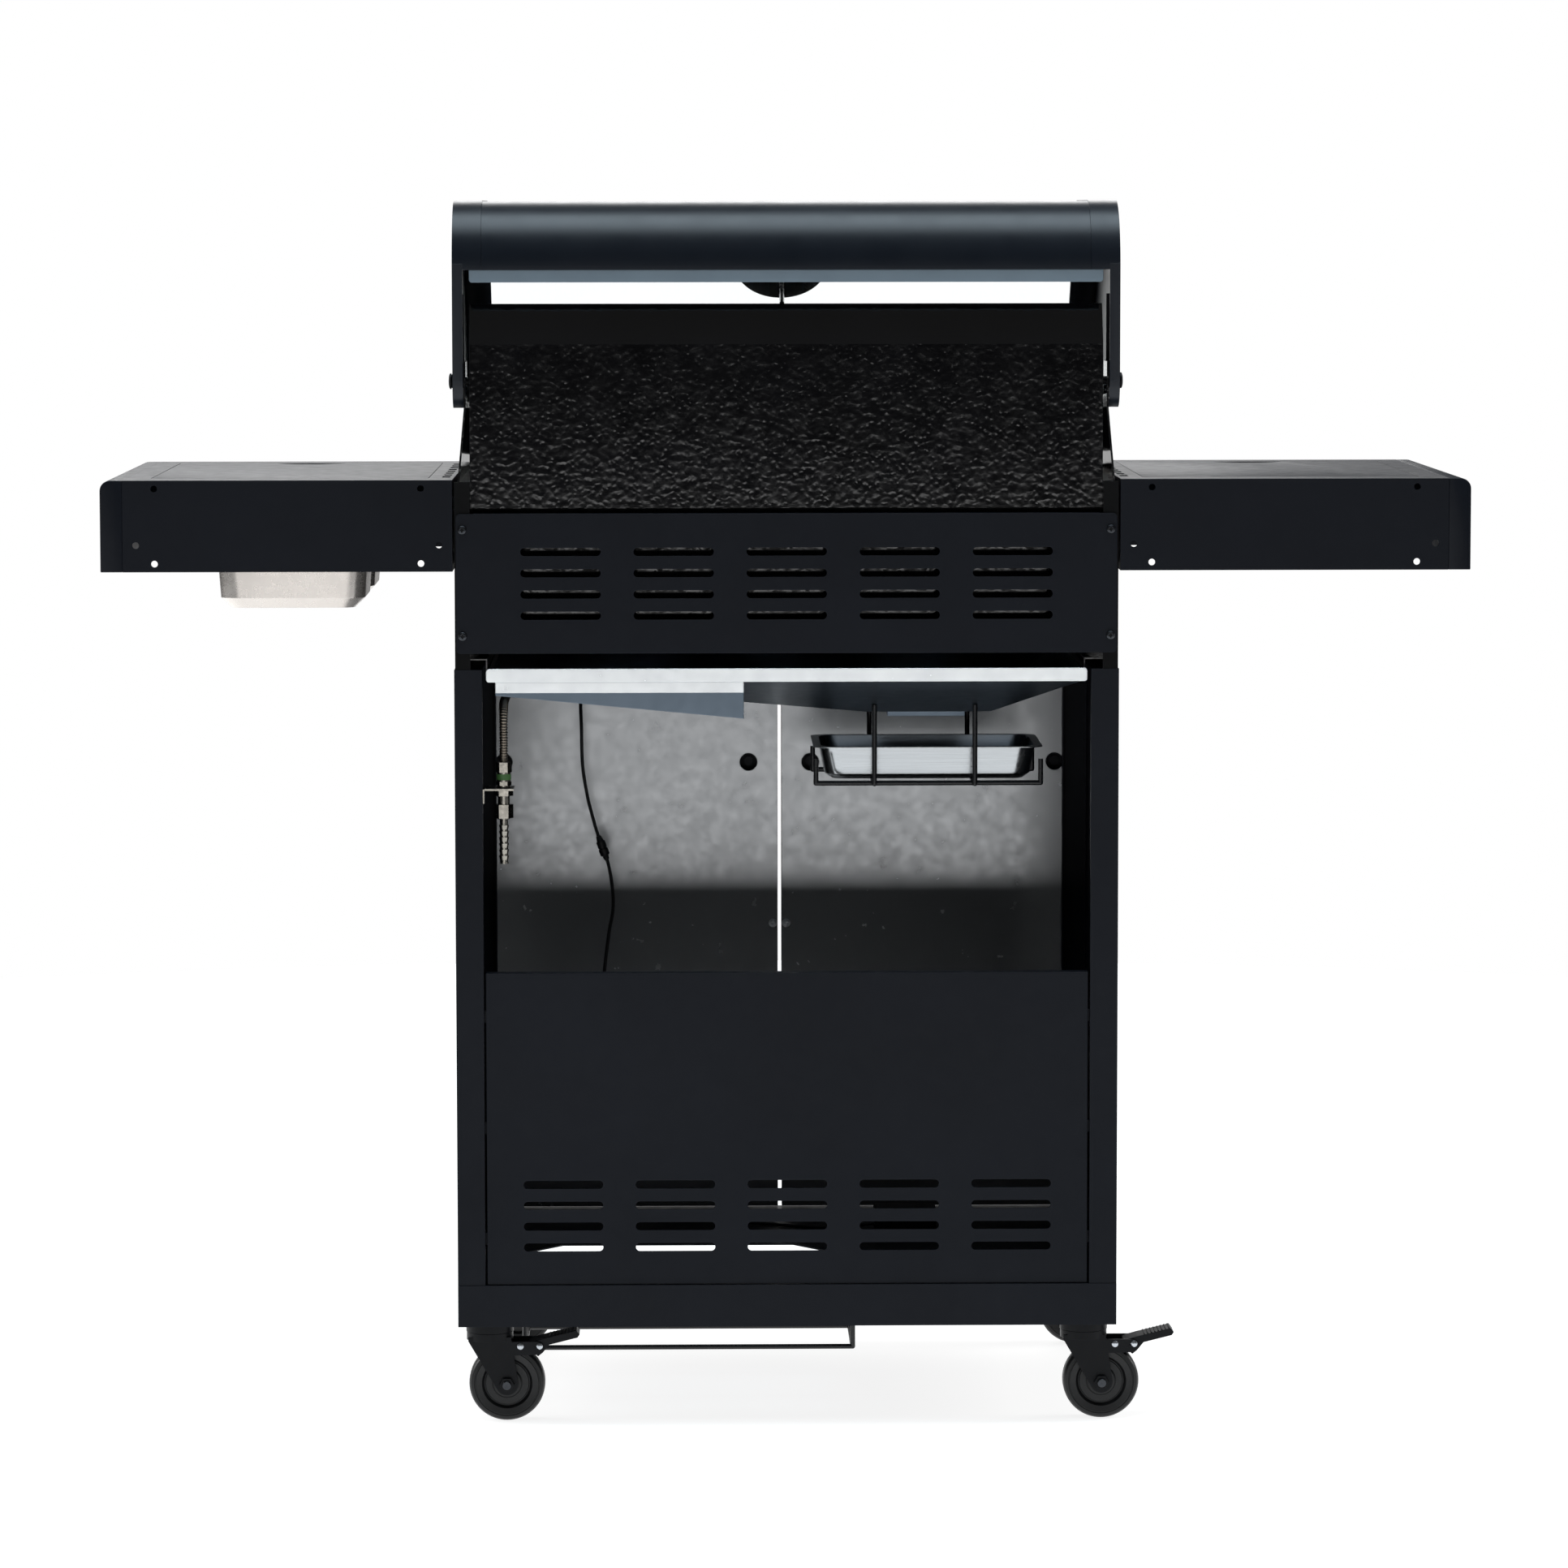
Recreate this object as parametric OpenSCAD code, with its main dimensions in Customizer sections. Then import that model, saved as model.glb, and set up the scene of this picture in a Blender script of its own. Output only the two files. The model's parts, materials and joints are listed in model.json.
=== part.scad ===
/* [Overall] */
// Width over both side shelves
overall_w = 1333; // [1310:1:1360]
// Width of the cabinet, the firebox and the hood
body_w = 648; // [646:1:650]
// Depth from the knob faces to the rear screw heads
overall_d = 540; // [538:1:546]
// Height of the underside of the base
base_z = 99; // [96:1:102]

/* [Cabinet] */
// Thickness of the pressed sheet parts
sheet = 1.5; // [1.2:0.1:1.6]
// Depth of the base from back to front
base_d = 472; // [470:1:474]
// Height of the base
base_h = 41; // [38:1:44]
// Depth of the cabinet side panels
panel_d = 450; // [448:1:450]
// Width of the folded posts at the rear
post_w = 27; // [24:1:30]
// Height of the top of the side panels
panel_top = 747; // [744:1:747]
// Height of the top of the lower rear panel
rear_panel_top = 449; // [400:1:480]
// Length of a ventilation slot
slot_w = 78; // [70:1:90]
// Height of a ventilation slot
slot_h = 8.1; // [6:0.1:10]
// Distance between slot columns
slot_pitch_x = 110; // [100:1:115]
// Distance between slot rows
slot_pitch_z = 20.7; // [18:0.1:22]

/* [Doors] */
// Gap between the two doors
door_gap = 4; // [2:0.2:10]
// Thickness of a door
door_t = 20; // [18:1:20]
// Height of the door handle screws
door_handle_z = 615; // [560:5:640]

/* [Firebox] */
// Depth of the firebox and of the side shelves
box_d = 440; // [438:1:440]
// Height of the top edge of the rear vent panel
vent_top = 899; // [896:1:900]
// Height of the bottom edge of the rear vent panel
vent_bottom = 763; // [760:1:766]
// Height of the top of the back wall
wall_top = 1102; // [1095:1:1108]
// Diameter of a burner tube
burner_dia = 26; // [24:1:28]
// Distance between neighbouring burners
burner_pitch = 150; // [140:1:150]

/* [Hood] */
// Height of the top of the closed hood
hood_top = 1202; // [1198:1:1210]
// Radius of the rear edge of the hood
hood_rear_r = 65; // [60:1:66]
// Radius between the hood's top and its window
hood_front_r = 70; // [65:1:72]
// Lean of the window, in degrees from upright
window_lean = 42; // [41:0.5:43]
// Width of the rim of a hood end
hood_rim_w = 28; // [24:1:30]
// Height of the hood pivot
pivot_z = 1027; // [1025:1:1029]

/* [Shelves] */
// Height of the top of the shelves
shelf_top = 932; // [930:1:934]
// Height of a shelf from edge to edge
shelf_h = 89; // [86:1:92]
// Width of a shelf lid
lid_w = 272; // [260:1:274]
// Depth of a shelf lid
lid_d = 350; // [348:1:352]

/* [Casters] */
// Diameter of a caster wheel
wheel_dia = 75; // [74:1:75]
// Width of a caster wheel
wheel_w = 24; // [22:1:24]
// Distance from the swivel axis to the wheel axle
trail = 17; // [15:1:18]

/* [Hidden] */
$fn = 48;

// Places along the depth are given as d, counted forwards from the rear face of the body
screw_head_h = 2.5;
rear_y = overall_d / 2 - screw_head_h;
half = body_w / 2;
shelf_end = overall_w / 2;
function at(x, d, z) = [x, rear_y - d, z];

// Cabinet
base_top = base_z + base_h;
lip_w = 12;
caster_x = half - 30;
caster_rear_d = 38;
caster_front_d = 430;
corner_plate = 64;
corner_plate_t = 3;
stem_dia = 12;
slot_cols = [-2:2];
slot_rows = [0:3];

// Doors
door_d = 452;
door_bottom = base_top + 3;
door_top = panel_top - 3;
door_outer = half - 1;
pin_x = door_outer - 6;
pin_d = door_d + 12;
pin_dia = 6;
handle_hole_x = [32.5, 289.5];
handle_hole_dia = 18.4;

// Firebox
web_x = 308;
web_t = 2;
firebox_bottom = 765;
firebox_top = 925;
firebox_rear_d = 44;
firebox_front_d = 434;
ledge_z = 906;
burner_z = 850;
burner_x = [for (i = [0:3]) (i - 1.5) * burner_pitch];
panel_face_d = 496;
knob_z = 830;
wall_d = 10;
wall_bend_z = 1063;

// Hood
hood_rear_d = 4;
hood_front_d = 443;
hood_bottom = 938;
lip_bottom = 1131;
pivot_d = 30;
arm_r = 26;
pivot_dia = 8;
corner_r = 30;
top_front_d = 222;
rear_c = [hood_rear_d + hood_rear_r, hood_top - hood_rear_r];
front_c = [top_front_d, hood_top - hood_front_r];
slope_dir = [sin(window_lean), -cos(window_lean)];
slope_out = [cos(window_lean), sin(window_lean)];
slope_start = front_c + hood_front_r * slope_out;
corner_d = hood_front_d - corner_r;
slope_len = (corner_d + corner_r * cos(window_lean) - slope_start[0]) / sin(window_lean);
corner_c = [corner_d, (slope_start + slope_len * slope_dir)[1] - corner_r * sin(window_lean)];
arc_steps = 16;

// Casters
wheel_r = wheel_dia / 2;
axle_dia = 8;
fit = 0.05;

// ---------- Building blocks ----------

module block(x0, x1, d0, d1, z0, z1) {
    translate(at(x0, d1, z0)) cube([x1 - x0, d1 - d0, z1 - z0]);
}

module both_sides() {
    children();
    mirror([1, 0, 0]) children();
}

module rod_x(x0, x1, d, z, dia) {
    translate(at(x0, d, z)) rotate([0, 90, 0]) cylinder(d = dia, h = x1 - x0);
}

module rod_y(x, z, d0, d1, dia) {
    translate(at(x, d0, z)) rotate([90, 0, 0]) cylinder(d = dia, h = d1 - d0);
}

module rod_z(x, d, z0, z1, dia) {
    translate(at(x, d, z0)) cylinder(d = dia, h = z1 - z0);
}

// A [d, z] outline carried from x0 to x1
module side_profile(x0, x1, points) {
    translate([x0, rear_y, 0]) rotate([90, 0, 90]) linear_extrude(x1 - x0)
        polygon([for (p = points) [-p[0], p[1]]]);
}

// An [x, z] outline carried from d0 to d1
module front_profile(d0, d1, points) {
    translate(at(0, d0, 0)) rotate([90, 0, 0]) linear_extrude(d1 - d0) polygon(points);
}

// An [x, d] outline carried from z0 to z1
module plan_profile(z0, z1, points) {
    translate([0, rear_y, z0]) linear_extrude(z1 - z0) polygon([for (p = points) [p[0], -p[1]]]);
}

module rounded_slot(w, h) {
    square([w - h, h], center = true);
    for (s = [-1, 1]) translate([s * (w - h) / 2, 0]) circle(d = h);
}

// Five columns and four rows of ventilation slots, cut from d0 to d1
module vent_slots(top_row_z, d0, d1) {
    translate(at(0, d0, 0)) rotate([90, 0, 0]) linear_extrude(d1 - d0)
        for (i = slot_cols, k = slot_rows)
            translate([i * slot_pitch_x, top_row_z - k * slot_pitch_z]) rounded_slot(slot_w, slot_h);
}

// Rectangle with rounded corners, centred, for pans and lids
module rounded_rect(w, d, r) {
    square([w - 2 * r, d], center = true);
    square([w, d - 2 * r], center = true);
    for (sx = [-1, 1], sy = [-1, 1]) translate([sx * (w / 2 - r), sy * (d / 2 - r)]) circle(r);
}

module rounded_block(x, d, w, depth, r, z0, z1) {
    translate(at(x, d, z0)) linear_extrude(z1 - z0) rounded_rect(w, depth, r);
}

function arc(c, r, a0, a1, n) =
    [for (i = [0:n]) let (a = a0 + (a1 - a0) * i / n) c + r * [cos(a), sin(a)]];

// ---------- Cabinet ----------

bottle_cutout = [[-47, 20], [263, 20], [263, 190], [225, 235], [-10, 235], [-47, 190]];

module corner_plates() {
    inner = half - sheet;
    near = sheet;
    far = base_d - sheet;
    both_sides() difference() {
        union() {
            block(inner - corner_plate, inner, near, near + corner_plate, base_z, base_z + corner_plate_t);
            block(
                inner - corner_plate, inner, far - 1.3 * corner_plate, far,
                base_z, base_z + corner_plate_t);
        }
        for (d = [caster_rear_d, caster_front_d]) rod_z(caster_x, d, base_z - 1, base_z + 5, stem_dia);
    }
}

module base_pan() {
    color("#1c1e23") {
        difference() {
            block(-half, half, 0, base_d, base_z, base_top);
            block(-half + sheet, half - sheet, sheet, base_d - sheet, base_z - 1, base_top - sheet);
            plan_profile(base_top - 5, base_top + 1, bottle_cutout);
        }
        corner_plates();
    }
}

module side_panel() {
    o = half;
    i = half - post_w;
    s = sheet;
    e = panel_d;
    plan_profile(base_top, panel_top - s, [
        [o, 1], [o, e], [i, e], [i, e - lip_w], [i + s, e - lip_w], [i + s, e - s],
        [o - s, e - s], [o - s, 1 + s], [i + s, 1 + s], [i + s, 1 + lip_w], [i, 1 + lip_w], [i, 1],
    ]);
    block(i, o, 1, e, panel_top - s, panel_top);
}

module side_panel_right() {
    color("#1c1e23") side_panel();
}

module side_panel_left() {
    color("#1c1e23") mirror([1, 0, 0]) side_panel();
}

module lower_rear_panel() {
    w = half - post_w - 2.2;
    z0 = base_top + 1;
    fold = 14;
    color("#1c1e23") difference() {
        union() {
            block(-w, w, 2.5, 2.5 + sheet, z0, rear_panel_top);
            block(-w, w, 2.5, 2.5 + fold, rear_panel_top - sheet, rear_panel_top);
            both_sides() block(w - sheet, w, 2.5, 2.5 + fold, z0, rear_panel_top);
            both_sides() for (z = [180, 290, 400]) block(w, half - post_w, 6, 8, z, z + lip_w);
        }
        vent_slots(239.8, 2, 5);
    }
}

module front_header() {
    w = half - post_w;
    z0 = panel_top - 53;
    back = panel_d - 16;
    flange_x = 262;
    lead_x = 208;
    color("#25272b") {
        block(-w, w, panel_d - 3.5, panel_d - 2, z0, panel_top - 2);
        block(-flange_x, flange_x, back, panel_d - 2, panel_top - 2 - sheet, panel_top - 2);
        // Lower flange, notched where the supply lead comes down
        difference() {
            block(-flange_x, flange_x, back, panel_d - 2, z0, z0 + sheet);
            block(lead_x - 7, lead_x + 7, back - 1, panel_d - 4, z0 - 1, z0 + 2);
        }
        // Brackets that hold the upper door pins
        both_sides() difference() {
            union() {
                block(w - 10, half - 2, panel_d, pin_d + 6, panel_top - sheet, panel_top);
                block(half - 16, half - 2, panel_d, pin_d + 6, panel_top, panel_top + 2);
            }
            rod_z(pin_x, pin_d, panel_top - 3, panel_top + 3, pin_dia);
        }
        // Grommet that the supply lead leaves
        rod_z(lead_x, panel_d - 10, 704, 718, 9);
        block(lead_x - 3, lead_x + 3, panel_d - 7, panel_d - 3, 708, 714);
    }
}

// A wire hoop under the bottle cut-out
module bottle_wire() {
    wire = 5;
    z = 52.5;
    x = [-68, 262];
    d = [135, 246];
    color("#1c1e23") {
        for (k = d) rod_x(x[0], x[1], k, z, wire);
        for (k = x) {
            rod_y(k, z, d[0], d[1], wire);
            for (m = d) {
                translate(at(k, m, z)) sphere(d = wire);
                rod_z(k, m, z, base_top - sheet, wire);
            }
        }
    }
}

module caster_stems() {
    color("#b8bcc0") for (sx = [-1, 1], d = [caster_rear_d, caster_front_d]) {
        rod_z(sx * caster_x, d, base_z + corner_plate_t, base_z + 22, stem_dia - 2);
        rod_z(sx * caster_x, d, base_z, base_z + corner_plate_t, stem_dia);
        translate(at(sx * caster_x, d, base_z + corner_plate_t)) cylinder(d = 20, h = 8, $fn = 6);
        rod_z(sx * caster_x, d, base_z - 10, base_z, 47);
        rod_z(sx * caster_x, d, base_z - 20, base_z - 10, stem_dia - 2);
        rod_z(sx * caster_x, d, base_z - 22, base_z - 20, stem_dia + 4);
    }
}

// ---------- Firebox and body ----------

module pan_head_screw(x, z, head, shank, reach) {
    rod_y(x, z, 0, reach, shank);
    translate(at(x, 0, z)) rotate([-90, 0, 0]) cylinder(d1 = head, d2 = 0.7 * head, h = screw_head_h);
}

module fasteners() {
    color("#2a2b2e") {
        both_sides() for (z = [780, 883.5]) pan_head_screw(half - 8.5, z, 8, 4, 9);
        // Hood pivots: pin, bush and outer head
        both_sides() {
            rod_x(308.5, half + 0.4, pivot_d, pivot_z, pivot_dia);
            rod_x(313.5, half - sheet - 0.4, pivot_d, pivot_z, 14);
            translate(at(half + 0.4, pivot_d, pivot_z)) rotate([0, 90, 0])
                cylinder(d1 = 15, d2 = 10, h = 2.6);
        }
        // Door pins
        both_sides() rod_z(pin_x, pin_d, panel_top - 14, panel_top + 2, pin_dia);
        both_sides() rod_z(pin_x, pin_d, base_top, base_top + 16, pin_dia);
    }
}

module firebox() {
    s = sheet;
    r = firebox_rear_d;
    f = firebox_front_d;
    color("#0d0e10") difference() {
        union() {
            block(-web_x, web_x, r, r + s, firebox_bottom, ledge_z);
            block(-web_x, web_x, wall_d + 1, r + s, ledge_z - s, ledge_z);
            block(-web_x, web_x, f, f + s, firebox_bottom, firebox_top);
            both_sides() {
                block(web_x - s, web_x, r, f, firebox_bottom, firebox_top);
                block(web_x - 16, web_x, r, f, 898.5, 900);
                block(web_x - 32, web_x, r, f, firebox_bottom, firebox_bottom + s);
            }
            block(-web_x, web_x, r, r + 30, firebox_bottom, firebox_bottom + s);
        }
        for (x = burner_x) rod_y(x, burner_z, f - 2, f + 3, burner_dia);
    }
}

module back_wall() {
    s = sheet;
    d = wall_d;
    lean = 20;
    color("#08090a") {
        side_profile(-web_x, web_x, [
            [d, ledge_z], [d, wall_bend_z], [d + lean, wall_top], [d + lean + s, wall_top],
            [d + s, wall_bend_z], [d + s, ledge_z + s], [d + 24, ledge_z + s], [d + 24, ledge_z],
        ]);
        both_sides() block(web_x - s, web_x, d + s, d + 14, ledge_z + s, wall_bend_z);
    }
}

module rear_vent_panel() {
    w = half - 2.4;
    r = 4;
    fold = 12;
    color("#1c1e23") difference() {
        union() {
            translate(at(0, 0, (vent_top + vent_bottom) / 2)) rotate([90, 0, 0])
                linear_extrude(sheet) rounded_rect(2 * w, vent_top - vent_bottom, r);
            block(-web_x + 3, web_x - 3, 0, fold, vent_top - sheet, vent_top);
            block(-web_x + 3, web_x - 3, 0, fold, vent_bottom, vent_bottom + sheet);
        }
        vent_slots(862, -1, 3);
        both_sides() for (z = [780, 883.5]) rod_y(half - 8.5, z, -1, 3, 4);
    }
}

// One firebox end: web, outer flanges and the leaning plate that carries the hood pivot
module firebox_end() {
    x = web_x;
    o = half - 1;
    s = sheet;
    z0 = panel_top;
    z1 = 930;
    ear_top = pivot_z + 19;
    difference() {
        union() {
            block(x, x + web_t, s, 442, z0, z1);
            block(x, o, s, 2 * s, z0, z1);
            block(x, o, 440.5, 442, z0, z1);
            block(x, o, s, 442, z0, z0 + s);
            block(x, 320, 8, 436, z1 - s, z1);
            intersection() {
                front_profile(8, 436, [
                    [320, z1 - s], [313.4, 1000], [313.4, ear_top], [311.4, ear_top],
                    [311.4, 1000], [318, z1 - s],
                ]);
                side_profile(x, o, [
                    [8, z1 - s], [8, ear_top], [50, ear_top], [58, 1003], [262, 1003],
                    [436, 938], [436, z1 - s],
                ]);
            }
        }
        for (z = [780, 883.5]) rod_y(half - 8.5, z, 0, 6, 4);
        rod_x(x, o, pivot_d, pivot_z, pivot_dia);
    }
    // Rail that the grease tray slides on
    block(293.6, x, 60, 430, 752, 753.5);
    block(293.6, 295.1, 60, 430, 738, 752);
    block(289, 293.6, 60, 430, 738, 739.5);
}

module firebox_ends() {
    color("#141518") both_sides() firebox_end();
}

module burners() {
    color("#9a9da0") for (x = burner_x) difference() {
        union() {
            rod_y(x, burner_z, 70, 446, burner_dia);
            block(x - 9, x + 9, firebox_rear_d + sheet, 72, burner_z - 4, burner_z + 4);
        }
        rod_y(x, burner_z, 74, 447, burner_dia - 3);
    }
}

module flame_tamers() {
    w = 46;
    t = 1.5;
    z = 864;
    rise = 22;
    color("#707376") for (x = burner_x) front_profile(firebox_rear_d + sheet, firebox_front_d, [
        [x - w, z], [x, z + rise], [x + w, z], [x + w - t, z - t], [x, z + rise - 2 * t], [x - w + t, z - t],
    ]);
}

module warming_rack() {
    z = 1006;
    d = [62, 122, 182];
    end = 303;
    color("#c4c7c9") {
        for (k = d) rod_x(-end, end, k, z, 5);
        for (x = [-end, end]) rod_y(x, z, d[0], d[2], 5);
        for (i = [-9:9]) rod_y(i * 30, z + 3, d[0], d[2], 3);
        both_sides() for (k = [d[0], d[2]]) block(end, 311.4, k - 2.5, k + 2.5, 1000, z);
    }
}

module bottle_heat_shield() {
    x = [42, 284];
    z = [699, 722];
    top = 735;
    s = 1;
    color("#c9ced2") {
        block(x[0], x[1], 1, 2, z[1], top);
        front_profile(1, 2, [[x[0], z[0]], [x[1], z[1]], [x[0], z[1]]]);
        front_profile(2, 300, [[x[0], z[0]], [x[1], z[1]], [x[1], z[1] + s], [x[0], z[0] + s]]);
    }
}

module control_panel() {
    f = panel_face_d;
    s = sheet;
    w = half - 0.5;
    outer = [[448, 750], [480, 750], [f, 764], [f, 886], [476, 905], [442, 905], [442, 752], [448, 752]];
    inner = [
        [440, 750 + s], [479, 750 + s], [f - s, 765], [f - s, 885.5],
        [475.5, 905 - s], [440, 905 - s],
    ];
    color("#1c1e23") difference() {
        union() {
            difference() {
                side_profile(-w, w, outer);
                side_profile(-w + s, w - s, inner);
            }
            for (x = burner_x) rod_y(x, knob_z, f, f + 2, 66);
            both_sides() block(w - 14, w - s, 442, 443.5, 752, 905 - s);
        }
        for (x = burner_x) {
            rod_y(x, knob_z, f - 3, f + 1, 14);
            rod_y(x, knob_z, f, f + 4, 58);
        }
    }
}

module gas_manifold() {
    d = 462;
    color("#b9a878") {
        difference() {
            union() {
                rod_x(-270, 286, d, knob_z, 18);
                for (x = burner_x) rod_y(x, knob_z, d, 486, 24);
                rod_y(277, knob_z, 450.5, d, 14);
            }
            for (x = burner_x) rod_y(x, knob_z, d, 487, pivot_dia + 2 * fit);
        }
        // Jets that feed the burner mouths
        for (x = burner_x) rod_y(x, burner_z, 440, 455, 8);
        for (x = burner_x) block(x - 5, x + 5, 447, 455, knob_z + 5, burner_z + 6);
        for (x = [-150, 0, 150]) block(x - 6, x + 6, 435.5, 455, 818, 826);
    }
}

module quarter_bend(x, d, z, r, dia, start) {
    translate(at(x, d, z)) rotate([0, -90, 0]) rotate([0, 0, start])
        rotate_extrude(angle = 90) translate([r, 0]) circle(d = dia);
}

// Corrugated hose from the inlet, forwards under the shield and up to the manifold
module gas_hose() {
    x = 277;
    dia = 9;
    r = 22;
    run_z = 712;
    up_d = 441;
    elbow = 9.5;
    color("#a9a59a") {
        rod_z(x, 25, 655, run_z - r, dia);
        quarter_bend(x, 25 + r, run_z - r, r, dia, 0);
        rod_y(x, run_z, 25 + r, up_d - r, dia);
        quarter_bend(x, up_d - r, run_z + r, r, dia, 180);
        rod_z(x, up_d, run_z + r, knob_z - elbow, dia);
        quarter_bend(x, up_d + elbow, knob_z - elbow, elbow, dia, 0);
    }
}

// Bulkhead fitting and hose barb on a bracket at the rear post
module gas_inlet() {
    x = 277;
    d = 25;
    rings = [
        [555, 557, 8.6], [557, 599, 8], [599, 600, 12],
        [613.5, 622, 12], [630, 632, 13], [636, 645, 13.5],
    ];
    nuts = [[600, 613.5, 18.6], [622, 628, 18.6], [632, 636, 15], [645, 655, 16]];
    color("#c8c3b9") {
        difference() {
            union() {
                for (p = rings) rod_z(x, d, p[0], p[1], p[2]);
                for (i = [0:5]) translate(at(x, d, 559 + 6 * i)) cylinder(d1 = 8, d2 = 10, h = 4);
                for (p = nuts) translate(at(x, d, p[0])) cylinder(d = p[2], h = p[1] - p[0], $fn = 6);
            }
            rod_z(x, d, 554, 640, 4.5);
        }
        difference() {
            block(267, half - post_w, 9, 42, 628, 630);
            rod_z(x, d, 627, 631, 4.5);
        }
        block(half - post_w - 1.5, half - post_w, 4, 13, 616, 630);
    }
}

// ---------- Supply lead ----------

// Route of the lead as [x, d, z], down from the header and along the cabinet floor
lead_dia = 3.5;
lead_upper = [
    [208, 440, 704], [208, 440, 697], [208, 432, 688], [208, 415, 676], [207, 402, 655], [206, 400, 617],
    [201, 400, 584], [195, 400, 560], [190, 400, 543],
];
lead_lower = [
    [181, 400, 518], [177, 400, 500], [175, 400, 483], [175, 400, 464], [179, 400, 442], [183, 400, 410],
    [187, 400, 370], [190, 400, 320], [191, 400, 270], [188, 400, 220], [180, 399, 185], [166, 397, 158],
    [148, 393, 145], [120, 385, 142], [80, 371, 142], [36, 352, 142], [0, 336, 142], [-30, 323, 142],
    [-60, 314, 143], [-80, 311, 146], [-95, 310, 148],
];

function unit(v) = v / norm(v);
function tangent(p, i) = unit(p[min(i + 1, len(p) - 1)] - p[max(i - 1, 0)]);
function ring(c, t, r, n) =
    let (a = unit(cross(t, [0.3, 1, 0.1])), b = cross(t, a))
    [for (k = [0:n - 1]) c + r * (cos(360 * k / n) * a + sin(360 * k / n) * b)];

module swept_tube(route, r, n) {
    p = [for (q = route) at(q[0], q[1], q[2])];
    m = len(p);
    points = [for (i = [0:m - 1]) each ring(p[i], tangent(p, i), r, n)];
    sides = [for (i = [0:m - 2], k = [0:n - 1])
        [i * n + k, i * n + (k + 1) % n, (i + 1) * n + (k + 1) % n, (i + 1) * n + k]];
    ends = [[for (k = [n - 1:-1:0]) k], [for (k = [0:n - 1]) (m - 1) * n + k]];
    polyhedron(points, concat(sides, ends), convexity = 4);
}

module supply_lead() {
    color("#101113") {
        swept_tube(lead_upper, lead_dia / 2, 8);
        swept_tube(lead_lower, lead_dia / 2, 8);
    }
}

// In-line connector, a stepped barrel between the two lengths of lead
module lead_connector() {
    a = lead_upper[len(lead_upper) - 1];
    b = lead_lower[0];
    lean = atan2(a[0] - b[0], a[2] - b[2]);
    h = norm(a - b);
    color("#101113") translate(at(b[0], b[1], b[2])) rotate([0, lean, 0]) {
        cylinder(d1 = 5, d2 = 9, h = 5);
        translate([0, 0, 5]) cylinder(d = 9, h = 7);
        translate([0, 0, 12]) cylinder(d = 8, h = h - 17);
        translate([0, 0, h - 5]) cylinder(d1 = 8, d2 = 5, h = 5);
    }
}

module battery_box() {
    color("#15161a") {
        rounded_block(-127, 310, 64, 44, 5, base_top, base_top + 24);
        rounded_block(-127, 310, 60, 40, 4, base_top + 24, base_top + 26);
    }
}

// ---------- Shelves ----------

shelf_in = half + 1;
shelf_out = shelf_end - 21.6;
shelf_bottom = shelf_top - shelf_h;
lid_x = 485;
lid_front_d = 395;
lid_rear_d = lid_front_d - lid_d;
hole_dia = 6.5;
rear_holes = [[355.5, 851], [614, 851], [338, 869], [632, 869], [355.5, 924], [614, 924]];

// Shelf with an opening for its lid, open underneath
module shelf_shell() {
    s = sheet;
    x0 = lid_x - lid_w / 2;
    x1 = lid_x + lid_w / 2;
    d0 = lid_rear_d;
    d1 = lid_front_d;
    difference() {
        block(shelf_in, shelf_out, 1, box_d, shelf_bottom, shelf_top);
        block(shelf_in + s, shelf_out + 1, 1 + s, box_d - s, shelf_bottom - 1, shelf_top - s);
        block(x0, x1, d0, d1, shelf_top - 10, shelf_top + 1);
        for (p = rear_holes) rod_y(p[0], p[1], 0, 5, hole_dia);
        // Vents beside the firebox
        for (d = [60:42:354])
            block(shelf_in + 4, shelf_in + 12, d, d + 24, shelf_top - 5, shelf_top + 1);
    }
    // Recess walls and the ledge that carries the lid
    difference() {
        block(x0 - s, x1 + s, d0 - s, d1 + s, shelf_top - 29, shelf_top - s);
        block(x0, x1, d0, d1, shelf_top - 30, shelf_top);
    }
    difference() {
        block(x0, x1, d0, d1, shelf_top - 16, shelf_top - 14);
        block(x0 + 6, x1 - 6, d0 + 6, d1 - 6, shelf_top - 20, shelf_top);
    }
    // Spacers against the firebox end
    for (d = [30, 400], z = [shelf_bottom + 12, shelf_top - 24]) rod_x(half - 1, shelf_in, d, z, 12);
}

pan_w = 176;
pan_d = 162;
pan_h = 100;
pan_rim_z = shelf_top - 29;
pan_places = [128, 312];

module shelf_right() {
    x0 = lid_x - lid_w / 2;
    x1 = lid_x + lid_w / 2;
    color("#1c1e23") {
        shelf_shell();
        // Plate with two openings that the food pans hang in
        difference() {
            block(
                x0 - sheet, x1 + sheet, lid_rear_d - sheet, lid_front_d + sheet,
                pan_rim_z - sheet, pan_rim_z);
            for (d = pan_places) rounded_block(
                lid_x, d, pan_w - 16, pan_d - 16, 12, pan_rim_z - 5, pan_rim_z + 5);
        }
    }
}

module shelf_left() {
    x0 = lid_x - lid_w / 2 - sheet;
    x1 = lid_x + lid_w / 2 + sheet;
    z0 = 868;
    s = sheet;
    color("#1c1e23") mirror([1, 0, 0]) {
        shelf_shell();
        // Shallow storage well with a drain spigot
        difference() {
            block(x0, x1, lid_rear_d - s, lid_front_d + s, z0, shelf_top - 29);
            block(x0 + s, x1 - s, lid_rear_d, lid_front_d, z0 + s, shelf_top);
            rod_z(457, 120, z0 - 1, z0 + 5, 6);
        }
        difference() {
            rod_z(457, 120, shelf_bottom - 1.5, z0, 9.5);
            rod_z(457, 120, shelf_bottom - 3, z0 + 1, 6);
        }
    }
}

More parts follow.
